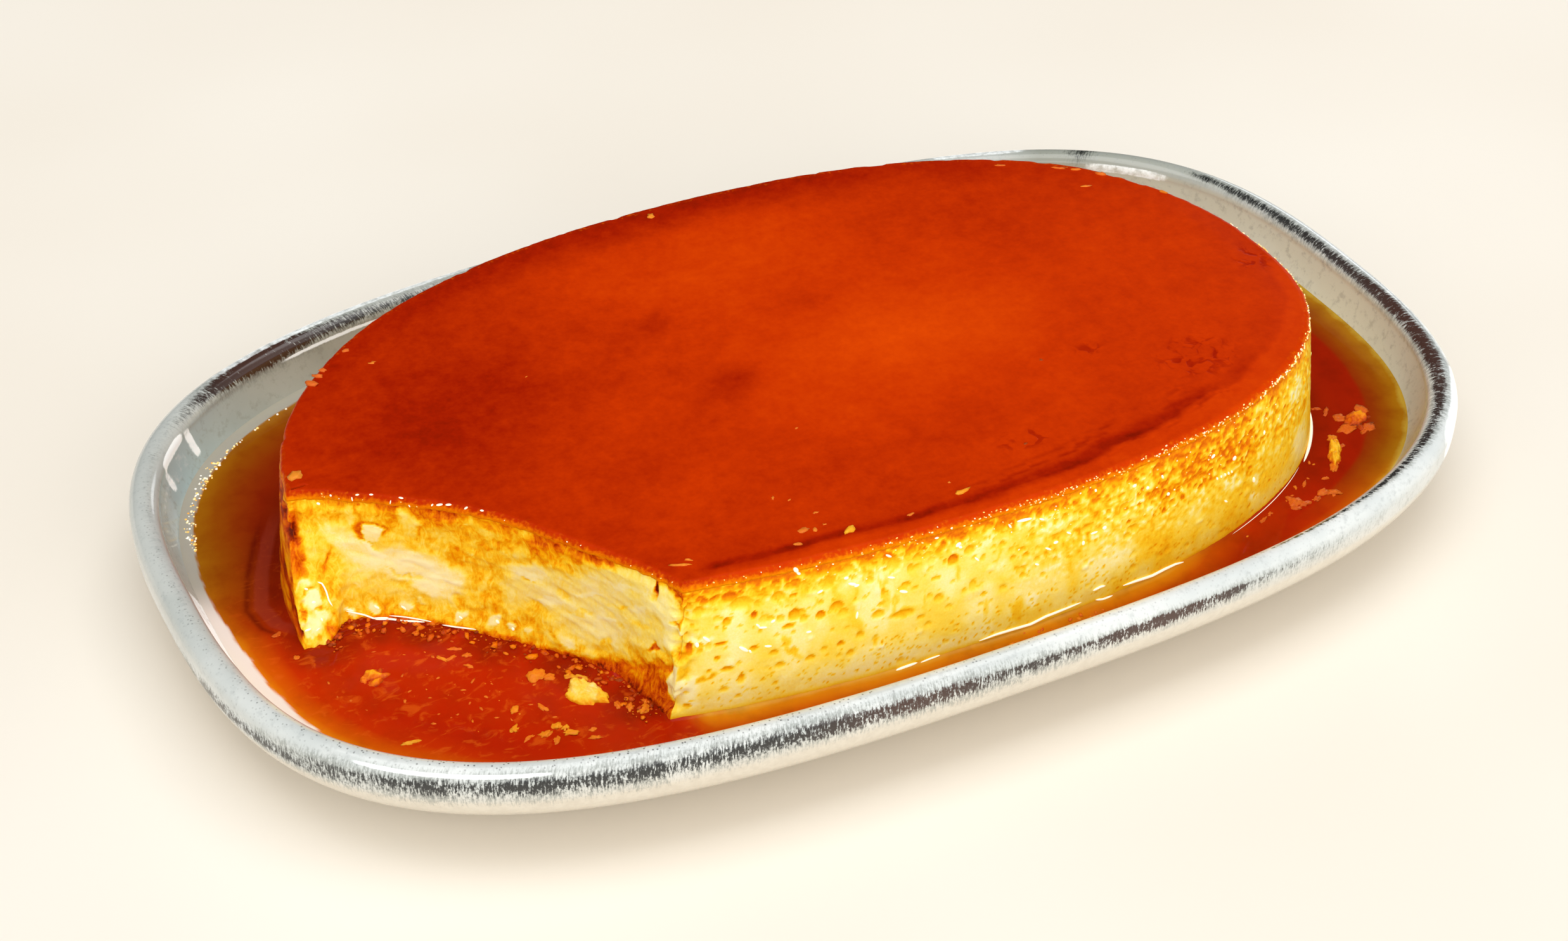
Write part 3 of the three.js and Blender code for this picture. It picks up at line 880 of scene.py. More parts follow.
# The larger bubbles of the moulded side near the cut: place along it, height, half width,
# half height and how deeply caramel has coloured them.
OPEN_PORES = [
    (1.8, 26.8, 0.8, 1.4, 0.95), (8.0, 31.0, 0.9, 0.9, 0.8), (12.9, 31.3, 0.75, 0.8, 1.0),
    (20.4, 29.7, 1.4, 1.2, 0.74), (25.2, 28.4, 1.0, 0.9, 0.82), (28.2, 29.3, 1.6, 1.1, 0.68),
    (7.2, 26.9, 1.3, 0.4, 0.9), (19.3, 27.6, 1.3, 0.5, 0.75), (13.2, 24.7, 1.0, 0.5, 0.76),
    (6.8, 24.1, 0.6, 0.5, 0.8), (8.8, 21.7, 1.4, 0.5, 0.76), (5.6, 21.9, 0.6, 0.4, 0.72),
    (11.5, 19.3, 0.8, 1.0, 0.7), (18.2, 20.3, 1.1, 0.65, 0.62), (23.8, 20.3, 1.1, 0.6, 0.66),
    (26.2, 21.4, 0.8, 0.5, 0.56), (29.2, 21.6, 0.8, 0.6, 0.76), (31.2, 19.3, 0.9, 0.7, 0.6),
    (17.0, 23.0, 1.0, 0.6, 0.66), (36.1, 25.6, 1.4, 0.9, 0.62), (40.8, 24.3, 2.6, 0.8, 0.62),
    (32.8, 22.4, 0.9, 0.8, 0.62), (36.8, 29.6, 0.5, 1.2, 0.62), (41.2, 30.0, 1.0, 0.6, 0.66),
    (43.0, 28.8, 0.8, 0.4, 0.58), (47.0, 29.5, 1.1, 0.5, 0.62), (47.7, 25.4, 1.1, 0.9, 0.6),
    (44.3, 22.5, 0.9, 0.5, 0.62), (49.8, 23.0, 0.8, 0.5, 0.52), (50.5, 32.2, 1.3, 1.2, 0.84),
    (53.8, 33.2, 1.3, 1.0, 0.62), (54.5, 26.0, 0.9, 1.2, 0.52), (56.6, 23.4, 0.7, 0.5, 0.66),
    (45.8, 20.6, 0.9, 0.6, 0.52), (10.5, 34.2, 2.3, 1.3, 0.6), (17.2, 34.0, 1.4, 1.1, 0.62),
    (3.0, 34.0, 1.2, 0.9, 0.6), (34.3, 32.8, 1.0, 0.8, 0.52), (38.9, 34.8, 1.5, 1.6, 0.58),
    (20.3, 35.8, 1.4, 0.8, 0.76), (20.0, 33.4, 0.9, 0.4, 0.76), (26.0, 36.8, 1.4, 0.6, 0.8),
    (18.6, 37.6, 0.7, 0.5, 0.8), (10.6, 37.2, 0.9, 0.8, 0.76), (4.2, 37.2, 0.7, 0.4, 0.76),
    (8.6, 17.7, 0.9, 0.5, 0.6), (15.4, 18.1, 0.5, 0.4, 0.65), (11.3, 15.9, 0.7, 0.4, 0.6),
    (2.6, 15.5, 0.8, 0.5, 0.65), (64.4, 24.6, 0.8, 0.6, 0.6), (65.2, 28.6, 1.0, 0.5, 0.66),
    (62.5, 28.8, 0.7, 0.6, 0.62), (67.5, 27.0, 0.8, 0.6, 0.56), (74.0, 25.0, 0.6, 0.4, 0.6),
    (68.6, 23.4, 0.6, 0.5, 0.55), (60.5, 23.4, 0.8, 0.7, 0.56), (71.4, 36.2, 1.3, 1.0, 0.86),
    (68.2, 38.0, 1.2, 0.6, 0.86), (77.4, 38.0, 1.2, 0.9, 0.86), (52.0, 36.4, 1.5, 0.8, 0.86),
]


def skin_pores(rng):
    """Air bubbles left in the moulded side: open near the cut, small and close further round."""
    pores = [(place, z, wide, tall, 0.4 * min(wide, tall), 0.56 + 0.85 * (dark - 0.6))
             for place, z, wide, tall, dark in OPEN_PORES]
    for _ in range(7500):
        place = rng.uniform(0, SKIN_LENGTH)
        z = mix(13.8, 38.4, rng.uniform(0, 1) ** 0.85)
        near_cut = 1 - smooth(55, 85, place)
        far = smooth(200, 260, place)
        high = smooth(22, 30, z)
        crowd = mix(0.3, 0.85, high) * mix(1, 0.3, far)
        crowd = crowd * mix(1, mix(0.35, 1, smooth(32, 36, z)), near_cut)
        if rng.uniform() > crowd:
            continue
        size = float(np.clip(0.4 * np.exp(rng.normal(0, 0.42)), 0.28, 1.1)) * mix(0.75, 1, high)
        wide = size * rng.uniform(0.8, 1.5)
        dark = rng.uniform(0.4, 0.54) + 0.1 * high * rng.uniform()
        pores.append((place, z, wide, size, size * 0.35, dark))
    # Browner ones close under the top edge.
    for _ in range(150):
        place, z = rng.uniform(2, 135), rng.uniform(35.6, 38.6)
        size = rng.uniform(0.45, 1.1)
        wide = size * rng.uniform(0.9, 1.6)
        pores.append((place, z, wide, size, size * 0.3, rng.uniform(0.6, 0.8)))
    # A dark cluster towards the right end.
    for _ in range(170):
        place, z = 107 + 9 * rng.normal(), 31.5 + 2.6 * rng.normal()
        size = rng.uniform(0.35, 0.8)
        wide = size * rng.uniform(0.8, 1.4)
        pores.append((place, min(z, 38), wide, size, size * 0.35, rng.uniform(0.66, 0.84)))
    # Pinpricks near the foot.
    for _ in range(420):
        place, z = rng.uniform(3, 135), rng.uniform(14.2, 20.5)
        size = rng.uniform(0.14, 0.26)
        pores.append((place, z, size * rng.uniform(1, 1.8), size, 0.08, rng.uniform(0.5, 0.7)))
    # Tall burnt ones beside the cut's left corner.
    for _ in range(130):
        place, z = rng.uniform(412, SKIN_LENGTH), rng.uniform(15, 38)
        size = rng.uniform(0.5, 1.3)
        tall = size * rng.uniform(0.8, 1.6)
        pores.append((place, z, size, tall, size * 0.35, rng.uniform(0.75, 1)))
    return pores


def drip_marks(spot, rng):
    """Short crooked runs of caramel down the moulded side."""
    runs = np.zeros(spot.shape[:2])
    sway = (noise(spot, (9, 2.6, 1), seed=14, octaves=2) - 0.5) * 2.6
    for _ in range(46):
        place, top, length = rng.uniform(0, 260), rng.uniform(25, 37), rng.uniform(2, 6)
        width = rng.uniform(0.35, 0.9)
        run = hump(spot[..., 0] + sway, place, width)
        run = run * smooth(top - length, top - length * 0.5, spot[..., 1])
        runs = np.maximum(runs, run * (1 - smooth(top - 1.5, top + 1.5, spot[..., 1])))
    return runs


# Patches on the moulded side: place along it, height, half sizes, tilt, stain and softness.
SKIN_DABS = [
    (77, 35.5, 9, 2.4, 0, 0.5, 0.6), (105, 32.0, 12, 4.6, -6, 0.54, 0.6),
    (98, 32.5, 4.5, 3, 0, 0.6, 0.6), (112, 35, 5.5, 2.8, 0, 0.58, 0.6),
    (119, 28, 5, 4, 0, 0.55, 0.7), (124, 22.5, 4.5, 4.5, 0, 0.46, 0.8),
    (112, 22.4, 6, 2.6, -12, 0.45, 0.7), (96, 26, 10, 3, 0, 0.4, 0.8),
    (131, 27, 6, 6, 0, 0.45, 0.8), (113.4, 24.2, 2.3, 1.8, 0, 0.2, 0.5),
    (89.8, 31.2, 1.4, 1.8, 0, 0.12, 0.35), (66.3, 18.8, 1.5, 1.4, 0, 0.1, 0.4),
    (119.6, 21.4, 1.0, 1.3, 0, 0.2, 0.4), (83, 20.5, 6, 2.6, 0, 0.16, 0.7),
    (119.5, 17.4, 1.4, 1.2, 0, 0.18, 0.5), (137.5, 32.6, 3.0, 2.6, 0, 0.16, 0.6),
    (138.5, 19.2, 4.2, 3.2, 0, 0.2, 0.6), (161, 17.5, 3.4, 2.7, 0, 0.14, 0.6),
    (71, 33.0, 5, 2.2, -10, 0.26, 0.7), (19.2, 24.6, 0.9, 1.6, 30, 0.46, 0.5),
    (20.6, 22.4, 2.2, 0.6, -22, 0.48, 0.5), (31.6, 25.4, 0.9, 3.6, 12, 0.44, 0.6),
    (37.4, 29.5, 0.7, 2.8, 5, 0.42, 0.6), (28.2, 31.5, 0.8, 2.2, 0, 0.42, 0.6),
    (39.6, 26.5, 0.5, 2.2, 0, 0.44, 0.6), (41, 24.2, 2.4, 0.8, 0, 0.48, 0.4),
    (45.3, 25.5, 0.3, 1.8, 0, 0.42, 0.5), (57.6, 19.6, 0.5, 2.0, 0, 0.42, 0.5),
    (63.4, 17.4, 0.8, 2.4, 0, 0.5, 0.5), (77, 25.6, 0.6, 2.6, 0, 0.44, 0.5),
    (90, 18.8, 1.3, 1.0, 0, 0.44, 0.6), (0.6, 23.0, 1.2, 3.6, 0, 0.5, 0.5),
    (1.8, 18.6, 2.4, 2.8, 0, 0.06, 0.4), (2.6, 15.6, 2.0, 1.2, 0, 0.1, 0.4),
    # The pale dab at 3.4 along and 28.2 up is a painted highlight round the glints there.
    (3.4, 28.2, 1.7, 1.2, -20, 0.08, 0.4), (5.2, 20.8, 2.0, 0.4, 20, 0.55, 0.5),
]


def skin_relief(outline, heights, rng):
    """Depth and stain of the moulded side."""
    along = outline.skin_along
    depth, hearts, halo = dimpled(along, heights, skin_pores(rng))
    lumps = [(rng.uniform(0, SKIN_LENGTH), mix(18, 35, rng.uniform()), rng.uniform(0.5, 1.3),
              rng.uniform(0.5, 1.0), rng.uniform(0.1, 0.3), 1.0) for _ in range(110)]
    lump = dimpled(along, heights, lumps)[0]

    spot = side_places(along, heights)
    up = spot[..., 1]
    down = FLAN_TOP - up
    drip = noise(spot, (3.4, 9, 1), seed=11, octaves=3)
    broad = noise(spot, (12, 40, 1), seed=12)
    cloud = noise(spot, (3.2, 2.6, 1), seed=13, octaves=3)
    blotch = noise(spot, (9, 6, 1), seed=16, octaves=2)
    flecks = noise(spot, (0.9, 0.75, 1), seed=19, octaves=2)
    reach = 2.6 + 4.2 * smooth(0.2, 0.85, 0.65 * drip + 0.35 * broad)
    top_stain = mix(0.52, 0.7, smooth(4.2, 1.6, down + (flecks - 0.5) * 2.6))
    top_stain = top_stain * np.exp(-(down / (reach + 1.6)) ** 3)
    end = held(118, 136, 215, 240, along)
    end_stain = end * mix(0.28, 0.44, smooth(0.35, 0.7, cloud)) * mix(1, 0.5, smooth(25, 17, up))
    warmth = held(54, 84, 200, 250, along)
    warm_stain = warmth * hump(up, 32, 8.0) * mix(0.26, 0.42, blotch)
    deeper = held(70, 105, 128, 146, along)
    base = np.exp(-(np.maximum(up - CARAMEL_LEVEL - 0.2, 0) / mix(1.2, 1.7, deeper)) ** 1.5)
    base_stain = mix(0.46, 0.58, blotch) * base
    clean = 0.17 + 0.17 * smooth(0.3, 0.75, noise(spot, (5, 7, 1), seed=15, octaves=3))
    clean = clean + 0.08 * warmth + 0.08 * smooth(200, 250, along)
    above_foot = mix(0.3, 1, smooth(15.5, 18.5, up))
    clean = clean + mix(0.03, 0.14, deeper) * smooth(27, 20, up) * above_foot
    wash = np.maximum.reduce([top_stain, end_stain, warm_stain, base_stain,
                              drip_marks(spot, rng) * 0.42])
    wash = np.maximum(wash, clean) + 0.2 * np.minimum(wash, clean)
    sway = (noise(spot, (2.2, 1.8, 1), seed=18, octaves=3) - 0.5) * 3.0
    lift = (noise(spot, (2.2, 1.8, 1), seed=20, octaves=3) - 0.5) * 3.0
    wash = painted(wash, along + sway, up + lift, SKIN_DABS)
    clouded = smooth(0.3, 0.7, cloud)
    wash = mix(wash, mix(0.45, 0.72, clouded), smooth(404, 424, along))
    wash = mix(wash, mix(0.64, 0.96, clouded), smooth(412, 426, along))
    mottled = smooth(52, 82, along) * smooth(18, 27, up)
    mottled = np.maximum(mottled * (1 - smooth(200, 240, along)), smooth(31, 36, up))
    wash = wash + mottled * (0.2 * smooth(0.54, 0.82, flecks) - 0.28 * smooth(0.48, 0.2, flecks))
    pore_stain = np.maximum(halo * 0.5, hearts)
    stain = np.maximum(wash, pore_stain) + 0.15 * np.minimum(wash, pore_stain)
    stain = np.minimum(stain, mix(0.8, 1.0, smooth(404, 420, along))) - lump * 0.6 - 0.05
    depth = depth + 0.14 * noise(spot, 1.3, seed=17, octaves=2) - lump
    depth = depth + 0.12 * (flecks - 0.5) * mottled - end_swell(along)
    at_top = smooth(36.2, 37.6, heights)[:, None]
    return mix(depth, edge_fray(along, False) + 0.08, at_top), stain


def band_mask(u, z, marks, ragged, soft):
    """1 between a lower and an upper edge that are given at places along the cut."""
    places, low, high = np.array(marks).T
    above = z - np.interp(u, places, low) + ragged
    below = np.interp(u, places, high) - z + ragged
    return smooth(-soft, soft, above) * smooth(-soft, soft, below) * (u >= places[0] - 1)


# The dark wedge that syrup has soaked at the cut's right foot: place, lower edge, upper edge.
DARK_WEDGE = [
    (52, 12, 13.4), (58, 12, 14.2), (62, 12, 15.4), (66, 12, 17.6), (70, 12, 20.0), (74, 12, 22),
    (78, 12, 23.4),
]
# The pale corner beside it, laid over it as a patch of the cut is.
CORNER_DABS = [
    (76.6, 18.6, 1.7, 3.3, 0, 0.06, 0.2), (77.2, 21.5, 1.2, 1.6, 0, 0.1, 0.2),
]
# Patches of the cut: place along it, height, half sizes, tilt, stain and softness.
CUT_DABS = [
    (3, 35, 3.6, 3, 0, 0.46, 0.5), (1, 25, 1.5, 10, 0, 0.74, 0.4),
    (4.4, 29.6, 2.6, 3.4, 10, 0.32, 0.4), (5.4, 33.4, 2.2, 1.5, 20, 0.4, 0.5),
    (10.5, 34.6, 0.9, 2.6, -6, 0.26, 0.5), (13.5, 36.2, 1.4, 1.2, 0, 0.42, 0.6),
    (20.3, 34.2, 1.5, 3.2, 4, 0.24, 0.45), (18.8, 30.2, 1.8, 2.2, 10, 0.3, 0.5),
    (26.5, 32, 2.4, 2.4, 0, 0.4, 0.6), (31, 34, 1.2, 2.4, 0, 0.45, 0.6),
    (23, 36.3, 0.7, 1.6, 0, 0.64, 0.5), (37, 36.2, 2.6, 1.0, 0, 0.64, 0.6),
    (50, 35.8, 4, 1.4, 10, 0.62, 0.6), (12, 21.2, 4.8, 3.2, -35, 0.32, 0.5),
    (19, 19.0, 5.5, 2.0, -22, 0.3, 0.5), (10.5, 18, 3, 1.8, -35, 0.38, 0.5),
    (28, 17.2, 6, 1.2, -8, 0.42, 0.6), (22, 28.6, 5, 1.4, -8, 0.4, 0.6),
    (8.6, 30.4, 2.8, 1.9, -50, 0.2, 0.5), (12.5, 26.6, 5.2, 2.9, -38, 0.16, 0.45),
    (20, 24.6, 8.4, 3.2, -12, 0.14, 0.42), (27.5, 22.2, 6.1, 3.6, -6, 0.13, 0.4),
    (13.6, 31.1, 2.7, 2.7, 0, 0.72, 0.25), (15.2, 29.2, 1.2, 1.6, 30, 0.3, 0.3),
    (13.8, 30.7, 1.9, 1.9, 0, 0.11, 0.2), (35.8, 25, 2.5, 7, 0, 0.45, 0.4),
    (35.6, 22.4, 0.9, 1.6, 0, 0.3, 0.4), (36, 16.6, 4, 1.2, 0, 0.5, 0.5),
    (47, 25.2, 8.4, 5.4, -8, 0.36, 0.3), (58, 26.5, 10, 8.4, 20, 0.36, 0.25),
    (67, 31, 9.5, 8, 20, 0.34, 0.2), (47, 25.4, 7.4, 4.4, -8, 0.22, 0.5),
    (43.5, 28.3, 3.6, 1.7, 5, 0.17, 0.5), (57, 26.5, 8.5, 7.0, 20, 0.22, 0.5),
    (66, 30.4, 8.4, 7.0, 20, 0.21, 0.4), (59, 21, 6.0, 4.4, 0, 0.18, 0.5),
    (67, 34.8, 6.2, 2.8, 5, 0.2, 0.4), (44.6, 27.2, 1.5, 0.7, 10, 0.44, 0.5),
    (53, 32.2, 2.6, 1.5, 20, 0.44, 0.6), (46, 20.6, 2.4, 1.5, 0, 0.42, 0.5),
    (51, 25.4, 1.6, 0.6, -30, 0.34, 0.5), (62, 25, 2, 0.7, -20, 0.32, 0.5),
    (68, 26.4, 2.4, 0.7, 20, 0.34, 0.5), (60.5, 18, 1.2, 2.0, 0, 0.42, 0.5),
    (66.5, 18.6, 1, 1.4, 0, 0.42, 0.5), (72, 27, 3, 4, 0, 0.26, 0.4),
    (75.4, 29, 2.2, 3.6, 0, 0.14, 0.3), (73.6, 33.8, 2.6, 3.4, 0, 0.18, 0.3),
    (14, 27.6, 4, 0.5, -36, 0.02, 0.5), (23.5, 24.6, 5, 0.5, -12, 0.02, 0.5),
    (29, 22.4, 3, 0.45, -8, 0.0, 0.5), (21, 22.6, 4, 0.35, -12, 0.3, 0.5),
    (44, 27.6, 3, 0.5, 0, 0.06, 0.5), (56, 27.6, 3, 0.5, 20, 0.08, 0.5),
    (64, 33, 3.4, 0.6, 15, 0.08, 0.5), (60, 24, 2.5, 0.5, 25, 0.06, 0.5),
    (68, 30, 2.5, 0.5, 30, 0.1, 0.5), (55, 23.4, 3, 0.4, 15, 0.34, 0.5),
    (63, 28.4, 3, 0.4, 25, 0.34, 0.5), (48.6, 23.2, 2.2, 0.6, 0, 0.06, 0.5),
    (71.6, 36.3, 0.6, 2.0, -8, 0.92, 0.4), (76.6, 37.2, 1.3, 1.3, 0, 0.84, 0.4),
    (76.4, 31, 1.3, 0.4, 20, 0.7, 0.4), (71.6, 23.9, 1.7, 0.5, 15, 0.8, 0.4),
    (17.3, 15.4, 1.6, 0.8, -30, 0.1, 0.3), (12.6, 15.2, 1.6, 0.6, -30, 0.05, 0.3),
    (22.6, 15.7, 1.6, 0.8, -25, 0.12, 0.3), (26, 16.7, 1.3, 0.6, -20, 0.26, 0.4),
    (34.2, 15.5, 1.2, 0.8, 10, 0.14, 0.3), (40.8, 15.8, 0.8, 1.1, 20, 0.1, 0.3),
    (43.8, 16, 0.7, 1.0, 0, 0.12, 0.3), (47.6, 16, 0.9, 0.7, 0, 0.28, 0.3),
    (53.6, 16.2, 1.4, 1.6, 20, 0.22, 0.3), (57.5, 15.6, 1, 1, 0, 0.3, 0.3),
    (3.4, 19, 3.8, 5.4, 0, 0.3, 0.4), (3.4, 16.6, 3.4, 1.2, 5, 0.03, 0.4),
    (3.7, 20.0, 2.2, 1.5, 0, 0.02, 0.4), (2.0, 22.6, 1.2, 0.8, 0, 0.1, 0.4),
    (5.6, 17.2, 0.5, 1.5, 15, 0.08, 0.3), (1.9, 15.2, 1.3, 0.4, 0, 0.12, 0.3),
    (4.6, 18.1, 1.8, 0.35, -15, 0.6, 0.4), (2.8, 21.2, 1.6, 0.35, 10, 0.6, 0.4),
    (1.0, 18.2, 0.5, 1.6, 0, 0.62, 0.4), (5.9, 20.6, 0.7, 1.2, 0, 0.5, 0.4),
    (4.4, 14.8, 1.2, 0.4, 0, 0.55, 0.4), (8.6, 14.2, 3.2, 0.9, -38, 0.72, 0.4),
]


def cut_relief(outline, heights):
    """Depth, stain and painted shade of the torn face where the helping was taken."""
    u = outline.cut_along
    spot = side_places(u, heights, 5.0)
    z = spot[..., 1]
    slope = spun(spot, 0.96, 0.28)
    steep = spun(spot, 0.6, 0.8)
    sway = (noise(spot, (2.4, 2.0, 1), seed=21, octaves=4) - 0.5) * 3.0
    lift = (noise(slope, (3.2, 1.6, 1), seed=27, octaves=4) - 0.5) * 3.0
    bits = noise(spot, (1.2, 1.0, 1), seed=22, octaves=2)
    curd = noise(spot, (3.2, 2.2, 1), seed=24, octaves=4)
    strand = noise(slope, (6, 0.9, 1), seed=28, octaves=3)
    streak = noise(steep, (5, 0.9, 1), seed=23, octaves=3)
    hang = noise(spot, (1.5, 10, 1), seed=29, octaves=3)
    wedge = band_mask(u, z, DARK_WEDGE, sway * 0.9, 0.9)

    stain = 0.5 + 0.5 * (curd - 0.5) + 0.24 * (hang - 0.5) * smooth(28, 32, z)
    stain = stain + 0.2 * smooth(34.8, 38, z + lift * 0.9)
    stain = stain + 0.06 * smooth(38, 45, u) * smooth(32, 36, z)
    stain = mix(stain, 0.42 + 0.6 * (streak - 0.45), smooth(21, 18, z + sway * 0.5) * 0.6)
    low = smooth(14.2, 13.2, z + 0.8 * lift) * smooth(5, 9, u)
    stain = mix(stain, 0.74, low)
    stain = painted(stain, u + sway, z + lift, CUT_DABS)
    stain = mix(stain, 0.74 + 0.3 * (curd - 0.5) + 0.14 * smooth(16, 13, z), wedge)
    stain = painted(stain, u + sway * 0.4, z + lift * 0.4, CORNER_DABS)
    stain = stain + 0.16 * (noise(slope, (5, 3.4, 1), seed=61, octaves=3) - 0.5)
    pale = smooth(0.36, 0.2, stain)
    # Painted shade over the pale far half of the cut.
    far = smooth(37, 42, u) * pale * smooth(16, 19, z)
    stain = stain + pale * (0.12 * (strand - 0.5) - 0.03) * smooth(8, 12, u)
    stain = stain + (1 - pale) * 0.12 * (bits - 0.5)

    # Two cracks: distance from each, half width, lower and upper end, and how deep it is.
    cracks = [(u - 5.6 - 0.05 * (z - 22) ** 2, 0.3, 24.0, 27.2, 0.3),
              (u - 71.4 - 0.3 * (z - 36), 0.5, 33.6, 37.6, 0.4)]
    groove = np.zeros_like(stain)
    for offset, width, bottom, top, strength in cracks:
        line = np.exp(-((offset + (bits - 0.5) * 0.8) / width) ** 2)
        line = line * smooth(bottom - 0.6, bottom + 0.6, z) * (1 - smooth(top - 0.6, top + 0.6, z))
        groove = np.maximum(groove, line * strength)
    crags = noise(spot, (4.5, 3.2, 1), seed=25, octaves=3)
    depth = (crags - 0.4) * mix(0.95, 0.5, pale) + (strand - 0.5) * 0.2
    depth = depth + (bits - 0.5) * mix(0.22, 0.1, pale)
    depth = depth + np.clip(stain - 0.35, -0.4, 0.5) * 0.45 + groove * 1.6
    foot = noise(spot, 1.3, seed=26, octaves=3) * 0.9 - 0.55
    depth = mix(foot, depth, smooth(13.2, 17, z)) + wedge * 0.5
    depth = mix(depth, edge_fray(u, True) + 0.08, smooth(35.6, 37.6, z))
    off_corner = held(0, 1.5, u.max() - 1.5, u.max(), u)
    # Along the cracks the colour is darkened too: painted shade in the creases.
    return depth * off_corner, stain + groove * 0.8, far * 0.8


def corner_wear(away, heights, seed):
    """How far the custard has crumbled away beside an upright corner of the cut."""
    spot = side_places(away, heights)
    bitten = smooth(0.35, 0.75, noise(spot, (2.4, 1.8, 1), seed=seed, octaves=3))
    upright = held(13.4, 15.5, 35.5, 37.8, heights)
    return 1.6 * bitten * upright[:, None] * np.exp(-(away / 1.9) ** 2)


def custard():
    """The baked custard in rows from under the caramel up into the glaze."""
    outline = FlanOutline(*CUSTARD_COLUMNS)
    top = FLAN_TOP - GLAZE_THICKNESS + 0.3
    heights = [CUSTARD_BASE, RELIEF_LOW, RELIEF_FULL - 0.4]
    heights = np.append(heights, np.arange(RELIEF_FULL, top, CUSTARD_ROWS))
    heights = np.append(heights, top)
    skin_depth, skin_stain = skin_relief(outline, heights, np.random.default_rng(7))
    cut_depth, cut_stain, cut_painted_shade = cut_relief(outline, heights)
    depth = np.concatenate([skin_depth, cut_depth], axis=1)
    stain = np.concatenate([skin_stain, cut_stain], axis=1)
    to_right = np.append(outline.skin_along, outline.cut_along.max() - outline.cut_along)
    to_left = np.append(outline.skin_along.max() - outline.skin_along, outline.cut_along)
    worn = corner_wear(to_right, heights, 51) + corner_wear(to_left, heights, 52)
    stain = stain + 0.12 * worn
    dull = np.concatenate([np.zeros_like(skin_stain), cut_painted_shade], axis=1)
    torn = np.tile(outline.on_cut, len(heights)).astype(float)
    depth = (depth + worn) * smooth(RELIEF_LOW, RELIEF_FULL, heights)[:, None]
    depth[heights > top - 0.15] += 0.7
    points = []
    for z, row_depth in zip(heights, depth):
        ring = outline.ring(z)
        ring = ring - ring_normals(ring, CORNER_WINDOW) * row_depth[:, None]
        points.append(raised(ring, z))
    return add_piece("custard_body", np.concatenate(points),
                     loft_faces(len(heights), outline.count), custard_finish(), "custard",
                     ["custard"], stain=stain.ravel(), dull=dull.ravel(), torn=torn)


# ---- caramel on top -----------------------------------------------------------------------------


def distance_to_ring(points, ring, at_once=2000):
    """Shortest distance in plan from each point to a closed line, worked out in blocks."""
    along = np.roll(ring, -1, axis=0) - ring
    length = np.maximum((along ** 2).sum(axis=1), 1e-9)
    nearest = []
    for first in range(0, len(points), at_once):
        block = points[first:first + at_once, None]
        share = np.clip(((block - ring) * along).sum(axis=-1) / length, 0, 1)
        gap = np.linalg.norm(block - ring - along * share[..., None], axis=-1)
        nearest.append(gap.min(axis=1))
    return np.concatenate(nearest)


def glaze():
    """The caramel-soaked layer: its side, its rounded brow and rings in to its middle."""
    outline = FlanOutline(*GLAZE_COLUMNS)
    low = FLAN_TOP - GLAZE_THICKNESS
    brim = FLAN_TOP - GLAZE_ROUND
    edge_top = FLAN_TOP - EDGE_DROOP
    along = np.append(outline.skin_along, outline.cut_along)
    normals = ring_normals(outline.ring(low), CORNER_WINDOW)
    fray = edge_fray(along, outline.on_cut)
    rows = []
    for z in (low, mix(low, brim, 0.5), brim):
        rows.append(raised(outline.ring(z) - normals * fray[:, None], z))
    edge = outline.ring(brim)
    behind = at_back(along) * (1 - outline.on_cut)
    for turn in np.linspace(0, math.pi / 2, 8)[1:]:
        pull = (GLAZE_ROUND - 0.6 * behind) * (1 - math.cos(turn))
        pull = pull + fray * (1 - 0.7 * turn / math.pi)
        z = brim + GLAZE_ROUND * math.sin(turn) - EDGE_DROOP
        rows.append(raised(edge - normals * pull[:, None], z))
    brow = rows[-1][:, :2]
    even = edge - normals * GLAZE_ROUND
    rounded = eased_ring(even, 81)
    shares = 1 - np.linspace(0, 1, 74)[1:] ** 1.35 * 0.995
    for place, share in enumerate(shares):
        ring = mix(brow, even, smooth(0, 5, place + 1))
        ring = mix(ring, rounded, smooth(2, 24, place))
        rows.append(raised(FLAN_CENTRE + (ring - FLAN_CENTRE) * share, edge_top))
    points = np.concatenate(rows)
    away = distance_to_ring(points[:, :2], edge[::2])
    on_top = points[:, 2] > edge_top - 0.05
    risen = smooth(1.3, 7, away) * on_top
    crisp = np.tile(behind, len(rows)) * smooth(brim - 0.1, edge_top, points[:, 2])
    points[:, 2] += EDGE_DROOP * np.maximum(risen, crisp)
    points[:, 2] -= 0.2 * noise(points, (20, 20, 100), seed=32) * risen
    in_front = np.tile(held(0, 8, 160, 185, along) * (1 - outline.on_cut), len(rows))
    tone, ripple = glaze_tone(points, away, np.tile(along, len(rows)), in_front)
    points[:, 2] -= ripple * risen
    soaked = 0.72 * smooth(low - 0.2, edge_top, points[:, 2])
    soaked = soaked + 0.28 * smooth(0.9, 1.8, away) * on_top
    pitted = np.zeros(len(points))
    for centre, half in PITTED_PATCHES:
        reach = np.hypot(*((points[:, :2] - centre) / half).T)
        pitted = np.maximum(pitted, (1 - smooth(0.5, 1.2, reach)) * on_top)
    return add_piece("glaze_top", points, loft_faces(len(rows), outline.count), glaze_finish(),
                     "caramel_glaze", ["caramel_top"], tone=tone, soaked=soaked, pitted=pitted)


